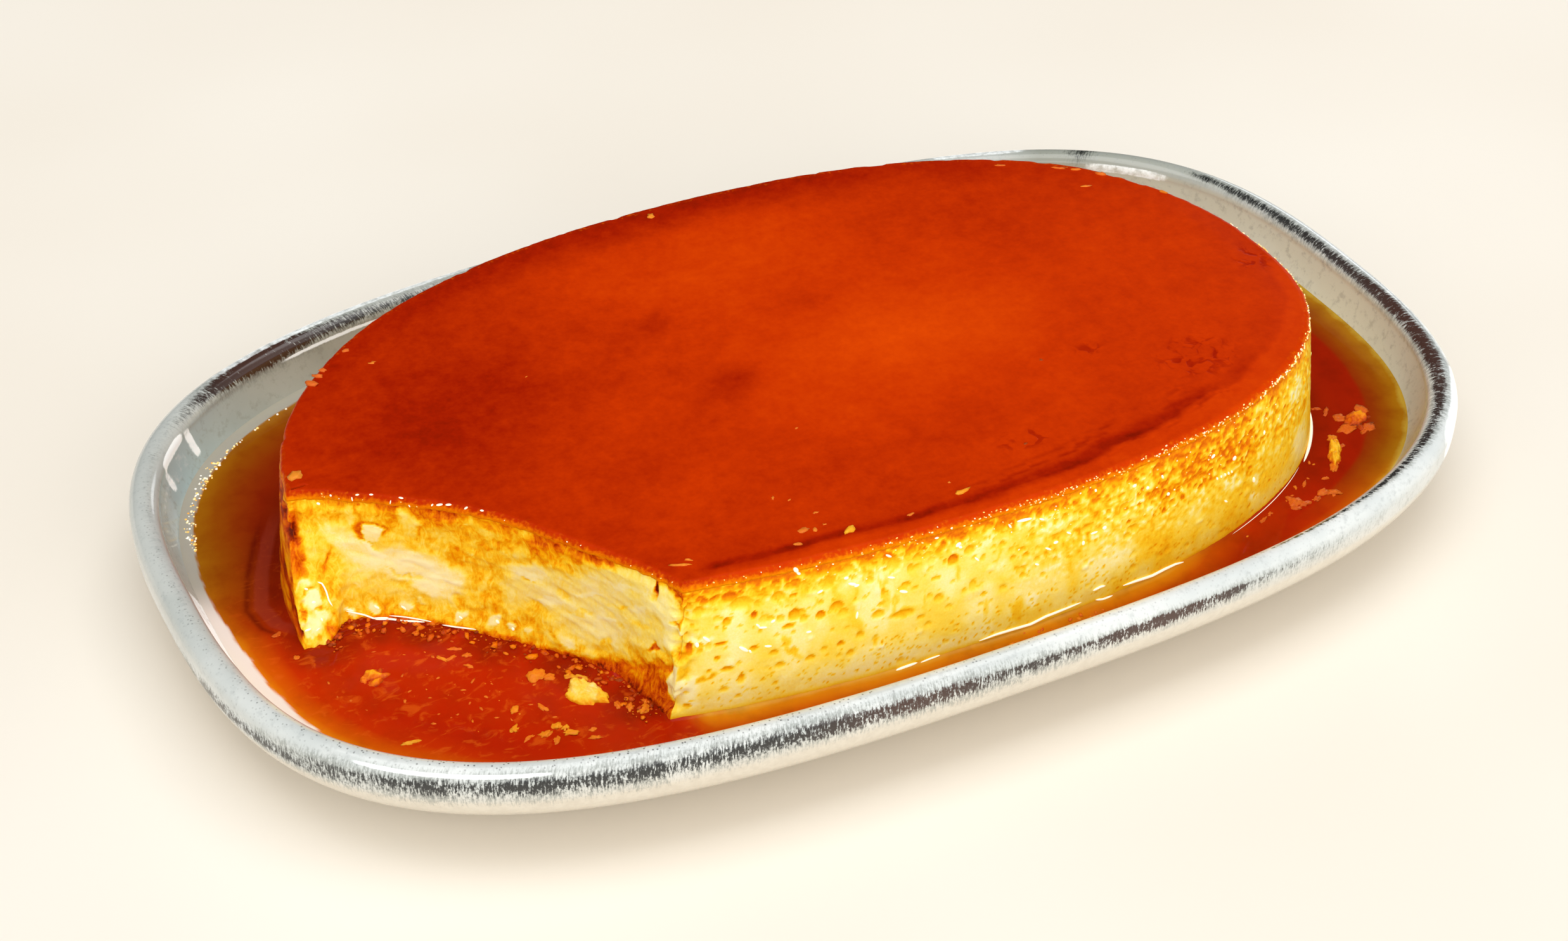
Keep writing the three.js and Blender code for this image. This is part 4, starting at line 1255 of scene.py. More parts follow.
# Where the caramel on top is lighter or darker: place, half sizes, turn in degrees, amount.
TOP_PATCHES = [
    ((18, -8), (25, 15), 0, 0.22), ((1, 33), (20, 12), 0, 0.12), ((-28, 30), (20, 9), 10, 0.07),
    ((67, -3), (18, 17), 0, 0.02), ((0, 8), (60, 30), 0, 0.05), ((-66, 16), (28, 22), 0, -0.2),
    ((-24, 17), (3.4, 3.0), 0, -0.19), ((-18, -6), (5.4, 4.6), 0, -0.2),
    ((-27, 2), (3.5, 3.0), 0, -0.08), ((7, 12), (5, 5), 0, -0.07),
    ((-32, -15), (20, 4.5), 32, -0.08), ((55, 22), (17, 15), 0, -0.06),
    ((-74, -4), (18, 12), -38, -0.14), ((-26, -37), (9, 7), 0, -0.07),
    ((8, -40), (9, 4), 0, -0.04),
]


# Where small pits and wrinkles show in the caramel on top: place and half sizes.
PITTED_PATCHES = [
    ((62, -38), (9, 7)), ((90, -15), (4, 5)), ((45, -27), (3, 2)), ((20, -46), (6, 3)),
]
# How far in from the front edge a dark ripple runs, at places along the edge.
RIPPLE_LINE = [
    (0, 3.4), (20, 4.6), (40, 4.2), (60, 4.2), (80, 5), (100, 7.4), (120, 7.4), (140, 6), (160, 5),
]


def glaze_tone(points, away, along, in_front):
    """Brightness of the caramel on top, 0 dark to 1 light, and how deep its front ripples are."""
    tone = np.full(len(points), 0.44)
    for centre, half, turn, amount in TOP_PATCHES:
        angle = math.radians(turn)
        x, y = points[:, 0] - centre[0], points[:, 1] - centre[1]
        along_patch = (x * math.cos(angle) + y * math.sin(angle)) / half[0]
        over_patch = (y * math.cos(angle) - x * math.sin(angle)) / half[1]
        tone = tone + amount * np.exp(-along_patch ** 2 - over_patch ** 2)
    back = smooth(20, 60, points[:, 1])
    tone = tone - 0.2 * back * (1 - smooth(3, 14, away)) - 0.06 * (1 - smooth(2, 12, away))
    spot = np.column_stack([along, away, np.zeros(len(along))])
    wander = noise(spot, (9, 30, 1), seed=33, octaves=4) - 0.5
    shore = read_off(RIPPLE_LINE, along) + mix(1.8, 3.4, smooth(75, 100, along)) * wander
    width = mix(0.8, 1.3, smooth(50, 100, along))
    line = smooth(shore - 1.3 * width, shore - 0.3 * width, away)
    line = line * (1 - smooth(shore + 0.3 * width, shore + 2.4 * width, away))
    line = line * mix(0.5, 1, smooth(0.25, 0.6, noise(spot, (5, 1.8, 1), seed=34, octaves=4)))
    rippled = held(45, 75, 118, 134, along)
    crest = noise(spot, (7, 40, 1), seed=36, octaves=3) * 3.4
    waves = 0.5 + 0.5 * np.sin((away - shore + crest) * 3.4)
    waves = smooth(0.45, 0.9, waves) * smooth(0.3, 0.6, noise(spot, (5, 2, 1), seed=35, octaves=2))
    waves = waves * (1 - smooth(shore + 3, shore + 6.5, away)) * smooth(3, 4.6, away)
    line = np.maximum(line, waves * 0.75 * rippled) * in_front * (1 - smooth(112, 140, along))
    tone = tone - 0.25 * line
    tone = tone + 0.14 * in_front * (1 - smooth(shore - 2.4, shore - 0.8, away))
    return tone, 0.14 * line


# ---- beads and threads of syrup, painted glints --------------------------------------------------

# Length along the moulded side and along the cut at each of many shares of them.
SIDE_SHARES = np.linspace(0, 1, 1600)
SIDE_LENGTHS = [run_length(line) for line in measured_sides(len(SIDE_SHARES))]


def side_spot(along, z, on_cut):
    """A point on the moulded side or on the cut, with the directions along it and out of it."""
    shares = np.interp([along - 0.3, along, along + 0.3], SIDE_LENGTHS[on_cut], SIDE_SHARES)
    ring = flan_ring(min(z, FLAN_TOP), shares, shares)
    before, here, after = ring[3:] if on_cut else ring[:3]
    tangent = (after - before) / max(np.linalg.norm(after - before), 1e-6)
    return here, tangent, np.array([tangent[1], -tangent[0]])


def side_bead(ball, along, z, half, tilt, on_cut, sunk):
    """Points of one bead that lies on the side of the flan, sunk into it a little."""
    here, tangent, outward = side_spot(along, z, on_cut)
    angle = math.radians(tilt)
    run = ball[:, 0] * half[0] * math.cos(angle) - ball[:, 2] * half[1] * math.sin(angle)
    rise = ball[:, 0] * half[0] * math.sin(angle) + ball[:, 2] * half[1] * math.cos(angle)
    out = ball[:, 1] * half[2] - sunk
    plan = here + run[:, None] * tangent + out[:, None] * outward
    return np.column_stack([plan, z + rise])


def thread(path, thickness, sides=6):
    """A thin rounded thread through the points of a path, with its triangles."""
    path = np.asarray(path)
    run = np.gradient(path, axis=0)
    run = run / np.linalg.norm(run, axis=1, keepdims=True)
    across = np.cross(run, (0, 0, 1))
    across = across / np.maximum(np.linalg.norm(across, axis=1, keepdims=True), 1e-6)
    over = np.cross(across, run)
    count = len(path)
    thin = thickness * np.sqrt(np.clip(1 - np.abs(np.linspace(-1, 1, count)) ** 3, 0.02, 1))
    turn = np.arange(sides) / sides * 2 * math.pi
    ring = across[:, None] * np.cos(turn)[:, None] + over[:, None] * np.sin(turn)[:, None]
    points = path[:, None] + ring * thin[:, None, None]
    here = np.arange(sides)
    after = (here + 1) % sides
    low = np.arange(count - 1)[:, None] * sides
    high = low + sides
    faces = np.concatenate([np.stack([low + here, high + here, low + after], axis=-1),
                            np.stack([low + after, high + here, high + after], axis=-1)])
    ends = [[0, k, k + 1] for k in range(1, sides - 1)]
    last = (count - 1) * sides
    ends += [[last, last + k + 1, last + k] for k in range(1, sides - 1)]
    return points.reshape(-1, 3), np.concatenate([faces.reshape(-1, 3), np.array(ends)])


# Painted glints: bright beads where the wet moulded side catches the light: place along it, height,
# half width, half height, tilt.
SIDE_GLINTS = [
    (20.5, 38.0, 0.7, 0.4, -60), (21.0, 37.2, 0.4, 0.25, -30), (24.9, 32.9, 0.6, 0.22, 20),
    (31.0, 32.8, 0.9, 0.3, -25), (31.8, 32.3, 0.5, 0.25, 10), (29.8, 34.3, 0.45, 0.3, 0),
    (11.4, 24.9, 1.1, 0.34, -42), (12.6, 24.2, 0.4, 0.2, -60), (15.8, 24.5, 0.7, 0.22, -15),
    (23.1, 25.5, 0.5, 0.2, 0), (4.6, 28.2, 0.9, 0.3, -48), (3.0, 27.4, 0.35, 0.6, 10),
    (13.7, 29.0, 0.5, 0.2, -50), (16.4, 29.2, 0.45, 0.25, 30), (14.6, 28.4, 0.8, 0.18, -10),
    (38.0, 36.3, 0.7, 0.22, -35), (38.4, 32.1, 0.8, 0.2, -22), (47.3, 37.2, 0.4, 0.16, 0),
    (51.5, 34.8, 0.6, 0.4, 35), (51.9, 34.2, 0.4, 0.25, -30), (40.8, 28.6, 0.9, 0.3, -25),
    (32.0, 26.4, 0.22, 0.8, -8), (55.2, 30.8, 0.7, 0.2, -50), (65.0, 35.7, 1.6, 0.3, -6),
    (62.0, 35.4, 0.6, 0.2, -60), (68.6, 34.7, 0.6, 0.2, -30), (71.4, 29.0, 0.5, 0.3, 0),
    (69.8, 28.2, 0.8, 0.2, -35), (74.2, 30.0, 0.6, 0.2, -35), (81.9, 28.3, 0.45, 0.4, 0),
    (79.6, 28.1, 0.8, 0.16, 0), (80.4, 36.4, 0.3, 0.4, 10), (88.9, 34.5, 0.45, 0.35, 0),
    (91.9, 32.9, 0.35, 0.35, 0), (95.5, 33.8, 0.22, 0.5, 20), (96.7, 29.6, 0.35, 0.35, 0),
    (108.4, 32.6, 0.5, 0.3, 30), (114.3, 29.3, 0.5, 0.5, 0), (119.8, 21.4, 0.4, 0.8, 25),
    (123.8, 30.0, 0.4, 0.5, 0), (67.4, 25.8, 0.5, 0.2, -30), (111.3, 21.1, 0.6, 0.2, -40),
    (109.2, 27.3, 0.2, 0.35, 20), (110.3, 27.2, 0.2, 0.35, 20), (111.4, 27.1, 0.2, 0.4, 20),
    (112.4, 26.9, 0.22, 0.4, 20), (113.3, 26.8, 0.2, 0.35, 20), (77.2, 26.8, 0.3, 0.5, 0),
]
# The same on the cut.
CUT_GLINTS = [
    (6.1, 36.9, 0.5, 0.35, -20), (26.2, 39.3, 0.9, 0.28, 18), (27.9, 39.8, 0.8, 0.25, 12),
    (31.0, 39.7, 0.6, 0.25, 40), (24.9, 39.0, 0.4, 0.2, 50), (11.3, 38.6, 0.14, 0.6, 8),
    (17.7, 38.7, 0.14, 0.6, -12), (20.9, 38.2, 0.14, 0.4, 20), (12.2, 39.7, 0.5, 0.12, 10),
    (14.5, 39.9, 0.5, 0.12, 0), (19.6, 39.8, 0.6, 0.12, -10), (34.0, 40.0, 0.5, 0.14, 0),
    (8.5, 38.9, 0.3, 0.14, -40), (1.6, 15.7, 0.9, 0.28, 10), (3.6, 15.4, 0.8, 0.22, 30),
    (4.8, 16.6, 0.3, 0.7, 10), (3.4, 19.6, 0.6, 0.45, -20), (2.2, 22.0, 0.5, 0.25, -30),
    (12.6, 15.0, 1.2, 0.22, -28), (17.6, 15.2, 0.8, 0.3, -40), (22.8, 15.3, 0.9, 0.3, -38),
    (34.2, 15.2, 0.6, 0.3, -30), (41.0, 16.0, 0.6, 0.4, -50), (44.2, 15.4, 0.4, 0.5, 10),
]
# Painted highlights: bright threads where syrup climbs the foot and catches the light: on the cut or
# not, places along with their heights, thickness and how far out they lie.
FOOT_GLINT_THREADS = [
    (False, [(38.9, 12.9), (41, 13.3), (44, 13.5)], 0.26, 0.12),
    (False, [(44.6, 13.3), (46.5, 13.5), (48.6, 13.6)], 0.16, 0.12),
    (False, [(55.8, 14.0), (59, 14.2), (62.5, 14.1), (66, 13.9), (69, 14.4), (76.4, 14.6)], 0.24, 0.12),
    (False, [(78.9, 16.1), (80.6, 16.3), (81.6, 16.1)], 0.22, 0.12),
    (False, [(79.4, 13.9), (81, 13.4), (83.4, 13.3)], 0.2, 0.12),
    (False, [(85.4, 14.5), (88, 14.3), (92, 13.8), (95, 13.9), (97.5, 13.8), (99.6, 13.3)], 0.26, 0.12),
    (False, [(0.4, 12.8), (1.8, 12.9), (3.2, 12.8)], 0.2, 0.12),
    (False, [(112, 13.4), (118, 13.4), (126, 13.4), (137, 13.4)], 0.07, 0.5),
    (False, [(139, 13.4), (144, 13.5), (150, 13.6), (157, 13.4)], 0.34, 0.9),
    (True, [(11, 15.5), (13, 14.8), (15.5, 14.1), (17.6, 13.3), (20.5, 13.5)], 0.16, 0.45),
    (True, [(17.8, 13.1), (21, 13.3), (24, 13.1), (28, 13.4)], 0.2, 0.6),
    (True, [(20.5, 13.9), (24, 13.8), (27, 13.7), (29.6, 13.6)], 0.12, 0.5),
    (True, [(31.5, 13.4), (34, 13.5), (36, 13.7), (38, 13.9)], 0.14, 0.5),
    (True, [(4.3, 22.9), (5.2, 22.4), (5.9, 20.8), (6.3, 19.3), (7.0, 18.4)], 0.16, 0.3),
]


def edge_sparkle(rng):
    """Places of the tiny beads along the top edge, painted glints: place along it, height, sizes, cut
    or not.
    """
    beads = []
    for _ in range(560):
        along = rng.uniform(3, 190)
        if rng.uniform() > mix(0.15, 1, smooth(30, 115, along)):
            continue
        size = rng.uniform(0.06, 0.14) * mix(1, 1.4, smooth(95, 125, along))
        height = 38.6 + 0.35 * rng.normal()
        beads.append((along, min(height, 39.4), size * rng.uniform(1, 2.6), size, False))
    for _ in range(14):
        size = rng.uniform(0.06, 0.11)
        beads.append((rng.uniform(1, 76), rng.uniform(38.2, 39.2), size * 1.8, size * 0.8, True))
    for _ in range(170):
        size = rng.uniform(0.08, 0.17)
        along, height = rng.uniform(20, 130), rng.uniform(29, 38.5)
        beads.append((along, height, size * rng.uniform(1, 2), size, False))
    return beads


def painted_glint_beads():
    """The bright beads on the flan's sides and top edge, and the threads at its foot: painted glints.
    """
    rng = np.random.default_rng(12)
    ball, faces = lump_mesh(2)
    parts = []
    for glints, on_cut in ((SIDE_GLINTS, False), (CUT_GLINTS, True)):
        for along, z, wide, tall, tilt in glints:
            sunk = 0.05 + float(edge_fray(np.array([along]), on_cut)[0]) * (z > 36)
            size = 0.74 if on_cut else 1
            half = (wide * size, tall * size, 0.24)
            parts.append((side_bead(ball, along, z, half, tilt, on_cut, sunk), faces, 0.3))
    small_ball, small_faces = lump_mesh(1)
    for along, z, wide, tall, on_cut in edge_sparkle(rng):
        sunk = float(edge_fray(np.array([along]), on_cut)[0]) + max(0, z - 38.6) ** 2 * 0.55
        half = (wide, tall, 0.15)
        beads = side_bead(small_ball, along, z, half, rng.uniform(-40, 40), on_cut, sunk)
        parts.append((beads, small_faces, rng.uniform(0.2, 1.6)))
    for on_cut, marks, thickness, out in FOOT_GLINT_THREADS:
        along, z = np.array(marks).T
        steps = np.linspace(along[0], along[-1], max(8, int((along[-1] - along[0]) * 3)))
        path = []
        for step, height in zip(steps, np.interp(steps, along, z)):
            here, _, outward = side_spot(step, height, on_cut)
            path.append([*(here + outward * out), height])
        parts.append((*thread(path, thickness), 0.15))
    points, triangles, warm = joined(parts)
    return add_piece("painted_glint_beads", points, triangles, painted_glint_finish(), "liquid_caramel",
                     warm=warm)


# ---- caramel in the plate -----------------------------------------------------------------------

CUT_FOOT_MIDDLES = mix(CUT_FOOT[:-1], CUT_FOOT[1:], 0.5)
# Width of the bare strip along the wall at the left, by bearing on the plate.
BARE_STRIP = [
    (-180, 2.2), (-172, 2.8), (-160, 2.6), (-150, 1.8), (-141, 0), (116, 0), (128, 2.6),
    (158, 2.6), (170, 1.8), (180, 2.2),
]
# Where the painted reflection, a pale arc of light, lies at the left end: place across the plate, place
# along it.
PAINTED_REFLECTION_ARC = [
    (-8, -105.5), (-3, -109.2), (3, -110.2), (12, -107.2), (22, -102.6), (30, -98),
]


def reach_of(ring, bearing):
    """Distance from the flan's centre to a closed line, in each direction."""
    offset = ring - FLAN_CENTRE
    angle = np.arctan2(offset[:, 1], offset[:, 0])
    order = np.argsort(angle)
    return np.interp(bearing, angle[order], np.linalg.norm(offset[order], axis=1),
                     period=2 * math.pi)


def from_cut(plan):
    """Distance in plan from each point to the foot of the cut."""
    return np.linalg.norm(plan[:, None] - CUT_FOOT_MIDDLES, axis=-1).min(axis=1)


def pool_rows(outline):
    """Rings of the pool, from its floor round its rim and in to the flan.

    Each point has its place, the depth under it and its distance to the rim. The caramel stands
    up a little where it meets the flan and the wall.
    """
    bearing = (np.arange(POOL_COLUMNS) + 0.5) / POOL_COLUMNS * 2 * math.pi - math.pi
    out = np.stack([np.cos(bearing), np.sin(bearing)], axis=1)
    shore = reach_of(outline, bearing)

    def wall_reach(inset):
        return reach_of(plate_ring(inset, LINE_POINTS), bearing)

    wall_shares = np.linspace(0, 1, 24)
    insets, floors = wall_inside(wall_shares)
    reaches = np.stack([wall_reach(inset) for inset in insets])
    edge = wall_reach(wall_inside(np.interp(CARAMEL_LEVEL, floors, wall_shares))[0])
    rows = []

    def add_row(reach, z, depth):
        place = raised(FLAN_CENTRE + out * reach[:, None], z)
        depth = np.broadcast_to(depth, POOL_COLUMNS)
        rows.append(np.column_stack([place, depth, edge - reach]))

    for share in (0.2, 0.75, 1.0):
        add_row(mix(shore + 0.3, reaches[0] - 0.4, share), WELL_FLOOR + 0.3, 6.0)
    for z in (9.0, 11.0):
        add_row(wall_reach(np.interp(z, floors, insets) + 0.4), z, CARAMEL_LEVEL - z)
    by_cut = 1 - smooth(5, 9, from_cut(FLAN_CENTRE + out * shore[:, None]))
    ripples = noise(raised(out * 70, 0), 9, seed=41, octaves=2)
    cling = (0.45 + 0.6 * ripples) * mix(1, 0.25, by_cut)
    wet_edge = np.maximum(edge - 4.5, shore - 0.5)
    surface = [mix(edge + 0.5, wet_edge, share ** 1.4) for share in np.linspace(0, 1, 18)]
    surface += [mix(shore - 0.9, wet_edge, 1 - smooth(0, 1, share))
                for share in np.linspace(0, 1, 52)[1:]]
    for reach in surface:
        from_flan = np.maximum(reach - shore + 0.5, 0)
        from_wall = np.maximum(edge - reach + 0.3, 0)
        climb = cling * np.exp(-from_flan / 0.9) + 0.35 * np.exp(-from_wall / 0.8)
        under = np.array([np.interp(r, column, floors) for r, column in zip(reach, reaches.T)])
        add_row(reach, CARAMEL_LEVEL + climb, CARAMEL_LEVEL - under)
    return rows


def caramel_pool():
    """The runny caramel: pale where it is thin, murky behind and at the right, deep at the cut, with
    painted shade and painted reflections.
    """
    fine = np.linspace(0, 1, 1500)
    outline = flan_ring(CARAMEL_LEVEL, fine, fine)
    rows = pool_rows(outline)
    marked = np.concatenate(rows)
    points, depth = marked[:, :3], marked[:, 3]
    gap = np.maximum(marked[:, 4], 0)
    x, y = points[:, 0], points[:, 1]
    from_skin = distance_to_ring(points[:, :2], outline[::6])

    # Light comes through where it is thin: beside the flan in front, and along the rim.
    past_corner = smooth(-60, -50, x) * smooth(0, -20, y)
    glow = mix(9.0, 0.5 + 0.42 * from_skin, past_corner * (1 - smooth(40, 75, x) * 0.5))
    depth = np.minimum(depth, glow)
    broad_fringe = smooth(-70, -95, x) * smooth(8, -6, y)
    depth = np.minimum(depth, 0.1 + mix(1.1, 0.5, broad_fringe) * gap)

    # It is darker round the foot of the cut, in front, at the left end and beside the right end, partly
    # from thicker caramel and partly as painted shade.
    ragged = 3.0 * (noise(points, (3, 3, 9), seed=42, octaves=2) - 0.5)
    thick = 0.5 * (1 - smooth(3, 9, from_cut(points[:, :2]) + ragged)) * (1 - past_corner)
    along_front = past_corner * (1 - smooth(60, 80, x))
    thick = thick + along_front * (0.2 + 0.24 * smooth(1.2, 6, from_skin))
    left = smooth(-84, -100, x) * smooth(-12, 6, y)
    thick = thick + left * mix(0.1, 0.5, 1 - smooth(2, 9, from_skin))
    right = smooth(60, 90, x)
    thick = thick + 0.25 * right * (1 - smooth(1, 6, from_skin))

    # It is murky in a band along the right rim and all along the back; along the back the darker olive
    # is partly painted shade.
    at_right = right * smooth(-66, -50, y)
    ring_line = gap + 0.8 * (noise(points, (4, 4, 9), seed=44) - 0.5)
    olive = np.maximum(at_right * smooth(8.6, 7.4, ring_line), smooth(-18, 22, y) * (1 - right))
    thick = thick + 0.34 * at_right * smooth(7.4, 8.6, ring_line)
    from_edge = np.minimum(gap / mix(15, 9.5, at_right), 1)
    flecks = smooth(75, 25, np.hypot(x + 82, y + 38))

    # A painted reflection: an arc of light lies at the left end, with a painted dark line outside it.
    off_arc = x - read_off(PAINTED_REFLECTION_ARC, y)
    on_arc = held(-9, -3, 20, 31, y)
    sheen = smooth(-1.5, -0.9, off_arc) * smooth(1.9, 1.1, off_arc) * on_arc
    thick = thick + 0.5 * hump(off_arc, -2.6, 0.6) * on_arc

    # A strip of the left wall shows bare; a painted reflection of a window makes it brighter towards
    # the front.
    bearing = plate_bearing(x, y)
    strip = read_off(BARE_STRIP, bearing)
    frayed = gap + 0.8 * (noise(points, (2, 2, 9), seed=43) - 0.5)
    bare = smooth(strip + 0.1, strip - 0.3, frayed) * (strip > 0.05)
    lit = np.where(bearing > 0, smooth(168, 179, bearing), smooth(-138, -148, bearing))
    return add_piece("liquid_caramel", points, loft_faces(len(rows), POOL_COLUMNS),
                     caramel_finish(), "liquid_caramel", ["caramel_pool"], depth=depth,
                     flecks=flecks, bare=bare, thick=thick, olive=olive, from_edge=from_edge,
                     sheen=sheen, lit=lit)


# Bits of custard in the caramel: place, half sizes, turn in degrees and stain.
POOL_CRUMBS = [
    ((-72.5, -36.7), (2.0, 1.6, 1.0), 20, 0.52), ((-70.9, -38.3), (1.2, 0.9, 0.8), 0, 0.56),
    ((-79.6, -43.3), (1.1, 0.8, 0.5), 30, 0.5), ((-75, -45), (1.4, 0.7, 0.5), -70, 0.55),
    ((-81.4, -47.8), (1.2, 0.8, 0.5), 40, 0.44), ((-77, -51.4), (1.4, 0.8, 0.5), 10, 0.5),
    ((-74.6, -50.4), (1.0, 1.0, 0.6), 0, 0.4), ((-72.9, -52.9), (1.7, 0.8, 0.6), -30, 0.44),
    ((-76, -53.6), (1.2, 0.6, 0.4), 60, 0.55), ((-73.4, -51.4), (0.8, 0.7, 0.7), 20, 0.36),
    ((-80, -51), (1.3, 0.5, 0.3), 20, 0.58), ((-59.4, -53.2), (1.4, 0.9, 0.7), 30, 0.5),
    ((-61.4, -51.6), (1.2, 0.7, 0.6), 60, 0.55), ((-63.2, -50.2), (1.1, 0.7, 0.6), 80, 0.58),
    ((-98.8, -42.9), (1.9, 0.5, 0.5), -12, 0.34), ((-110, -5.8), (1.3, 0.6, 0.4), 20, 0.66),
    ((-108.8, -13.2), (0.6, 0.6, 0.4), 0, 0.6), ((-86, -25), (1.5, 0.4, 0.4), -60, 0.5),
    ((-84.4, -25.6), (1.2, 0.5, 0.4), 20, 0.6), ((-83, -23.6), (1.3, 0.5, 0.4), -30, 0.62),
    ((-82.4, -29), (1.1, 0.5, 0.4), -50, 0.56), ((-81.6, -26.2), (1.0, 0.6, 0.4), 0, 0.62),
    ((-69.7, -56), (1.3, 0.6, 0.4), -20, 0.56), ((-69.4, -54), (0.8, 0.5, 0.4), 0, 0.56),
    ((-66.2, -40.9), (1.9, 0.8, 0.8), -50, 0.3), ((-67.6, -39.6), (1.0, 0.6, 0.6), -20, 0.4),
    ((74.9, -55.9), (1.9, 1.6, 0.7), 50, 0.66), ((76.2, -57.6), (1.6, 0.9, 0.6), 0, 0.7),
    ((74.2, -58.0), (1.3, 0.7, 0.5), -30, 0.68), ((81.6, -56.3), (1.6, 1.1, 0.6), 10, 0.66),
    ((83.6, -57.4), (1.9, 1.2, 0.6), -15, 0.62), ((79.2, -57.4), (1.2, 0.7, 0.4), 30, 0.7),
    ((66.4, -58.2), (1.5, 0.4, 0.4), 22, 0.66), ((68.6, -57.2), (0.8, 0.4, 0.4), 40, 0.66),
    ((93.6, -45.8), (0.9, 0.6, 0.4), 0, 0.7), ((97.4, -35.2), (1.8, 0.6, 0.5), 40, 0.74),
    ((96.2, -33.4), (1.2, 0.5, 0.4), -20, 0.74), ((84.6, -52.9), (0.9, 0.5, 0.4), 0, 0.64),
    ((80.0, -52.4), (1.3, 0.4, 0.5), 40, 0.66), ((98.2, -41.6), (2.4, 1.8, 0.5), 10, 0.66),
    ((104.2, -37.6), (1.9, 1.6, 0.5), 50, 0.66), ((98.6, -38.0), (1.6, 1.4, 0.5), 0, 0.68),
    ((101.6, -43.4), (2.0, 1.2, 0.4), 20, 0.7), ((93.4, -43.0), (1.4, 1.0, 0.7), 50, 0.5),
    ((88.2, -50.6), (1.8, 0.9, 0.5), 52, 0.56),
]
# Bits on top of the caramel: place, half sizes, turn, stain and how much film covers them.
TOP_CRUMBS = [
    ((-26, -42.7), (0.8, 0.35, 0.25), 20, 0.5, 1.0),
    ((-28.3, -40.9), (0.7, 0.3, 0.25), 60, 0.5, 1.0),
    ((-23.3, -47.9), (0.7, 0.45, 0.3), 0, 0.5, 0.9),
    ((-27.6, -51.2), (1.5, 0.8, 0.4), 10, 0.55, 0.9),
    ((-25.8, -52.1), (0.8, 0.5, 0.35), 60, 0.45, 0.8),
    ((-20.4, -54.7), (1.4, 0.7, 0.6), 20, 0.36, 0.3),
    ((-23.6, -51.5), (0.6, 0.4, 0.3), 0, 0.5, 0.9),
    ((-30.1, -54.1), (0.8, 0.4, 0.3), -20, 0.5, 0.9), ((2, -54.3), (1.7, 0.65, 0.5), 12, 0.4, 0.5),
    ((1.4, -51), (0.5, 0.4, 0.25), 0, 0.5, 0.9), ((-9, -55.7), (0.8, 0.35, 0.3), 10, 0.5, 0.8),
    ((-50.2, -50.2), (2.2, 0.3, 0.3), -25, 0.5, 0.6),
    ((-48.6, -49.6), (1.0, 0.25, 0.3), -30, 0.5, 0.6),
    ((-15.2, -24.4), (0.4, 0.3, 0.2), 0, 0.5, 1.0), ((35.3, -26.1), (0.6, 0.5, 0.25), 0, 1.0, 0.2),
    ((19.2, -47.2), (0.4, 0.35, 0.25), 0, 1.0, 0.2),
    ((-100.4, 3.0), (1.6, 1.3, 0.6), 30, 0.36, 0.8),
    ((-89.2, 28.6), (1.5, 0.9, 0.5), -40, 0.7, 0.8),
    ((-87.6, 30.4), (1.1, 0.7, 0.5), -40, 0.66, 0.8),
    ((-85.6, 31.6), (0.8, 0.6, 0.4), -40, 0.7, 0.9),
    ((-79.6, 35.6), (0.8, 0.5, 0.4), 0, 0.66, 0.9), ((-76.6, 29.6), (0.9, 0.6, 0.35), 0, 0.5, 1.0),
    ((-8.9, 52.6), (0.8, 0.9, 0.7), 0, 0.4, 0.7), ((-52.6, 12.4), (0.4, 0.3, 0.2), 0, 0.5, 1.0),
    ((64, 38), (1.6, 0.5, 0.4), -30, 0.66, 0.6), ((74.2, 31.6), (2.2, 0.5, 0.5), -34, 0.64, 0.5),
    ((77, 29.6), (1.5, 0.5, 0.45), -34, 0.6, 0.5), ((81.8, 26), (1.3, 0.6, 0.5), -45, 0.64, 0.5),
    ((75.6, 23), (1.2, 0.35, 0.3), -20, 0.5, 0.9), ((89, 14), (0.9, 0.4, 0.4), -60, 0.5, 0.6),
]


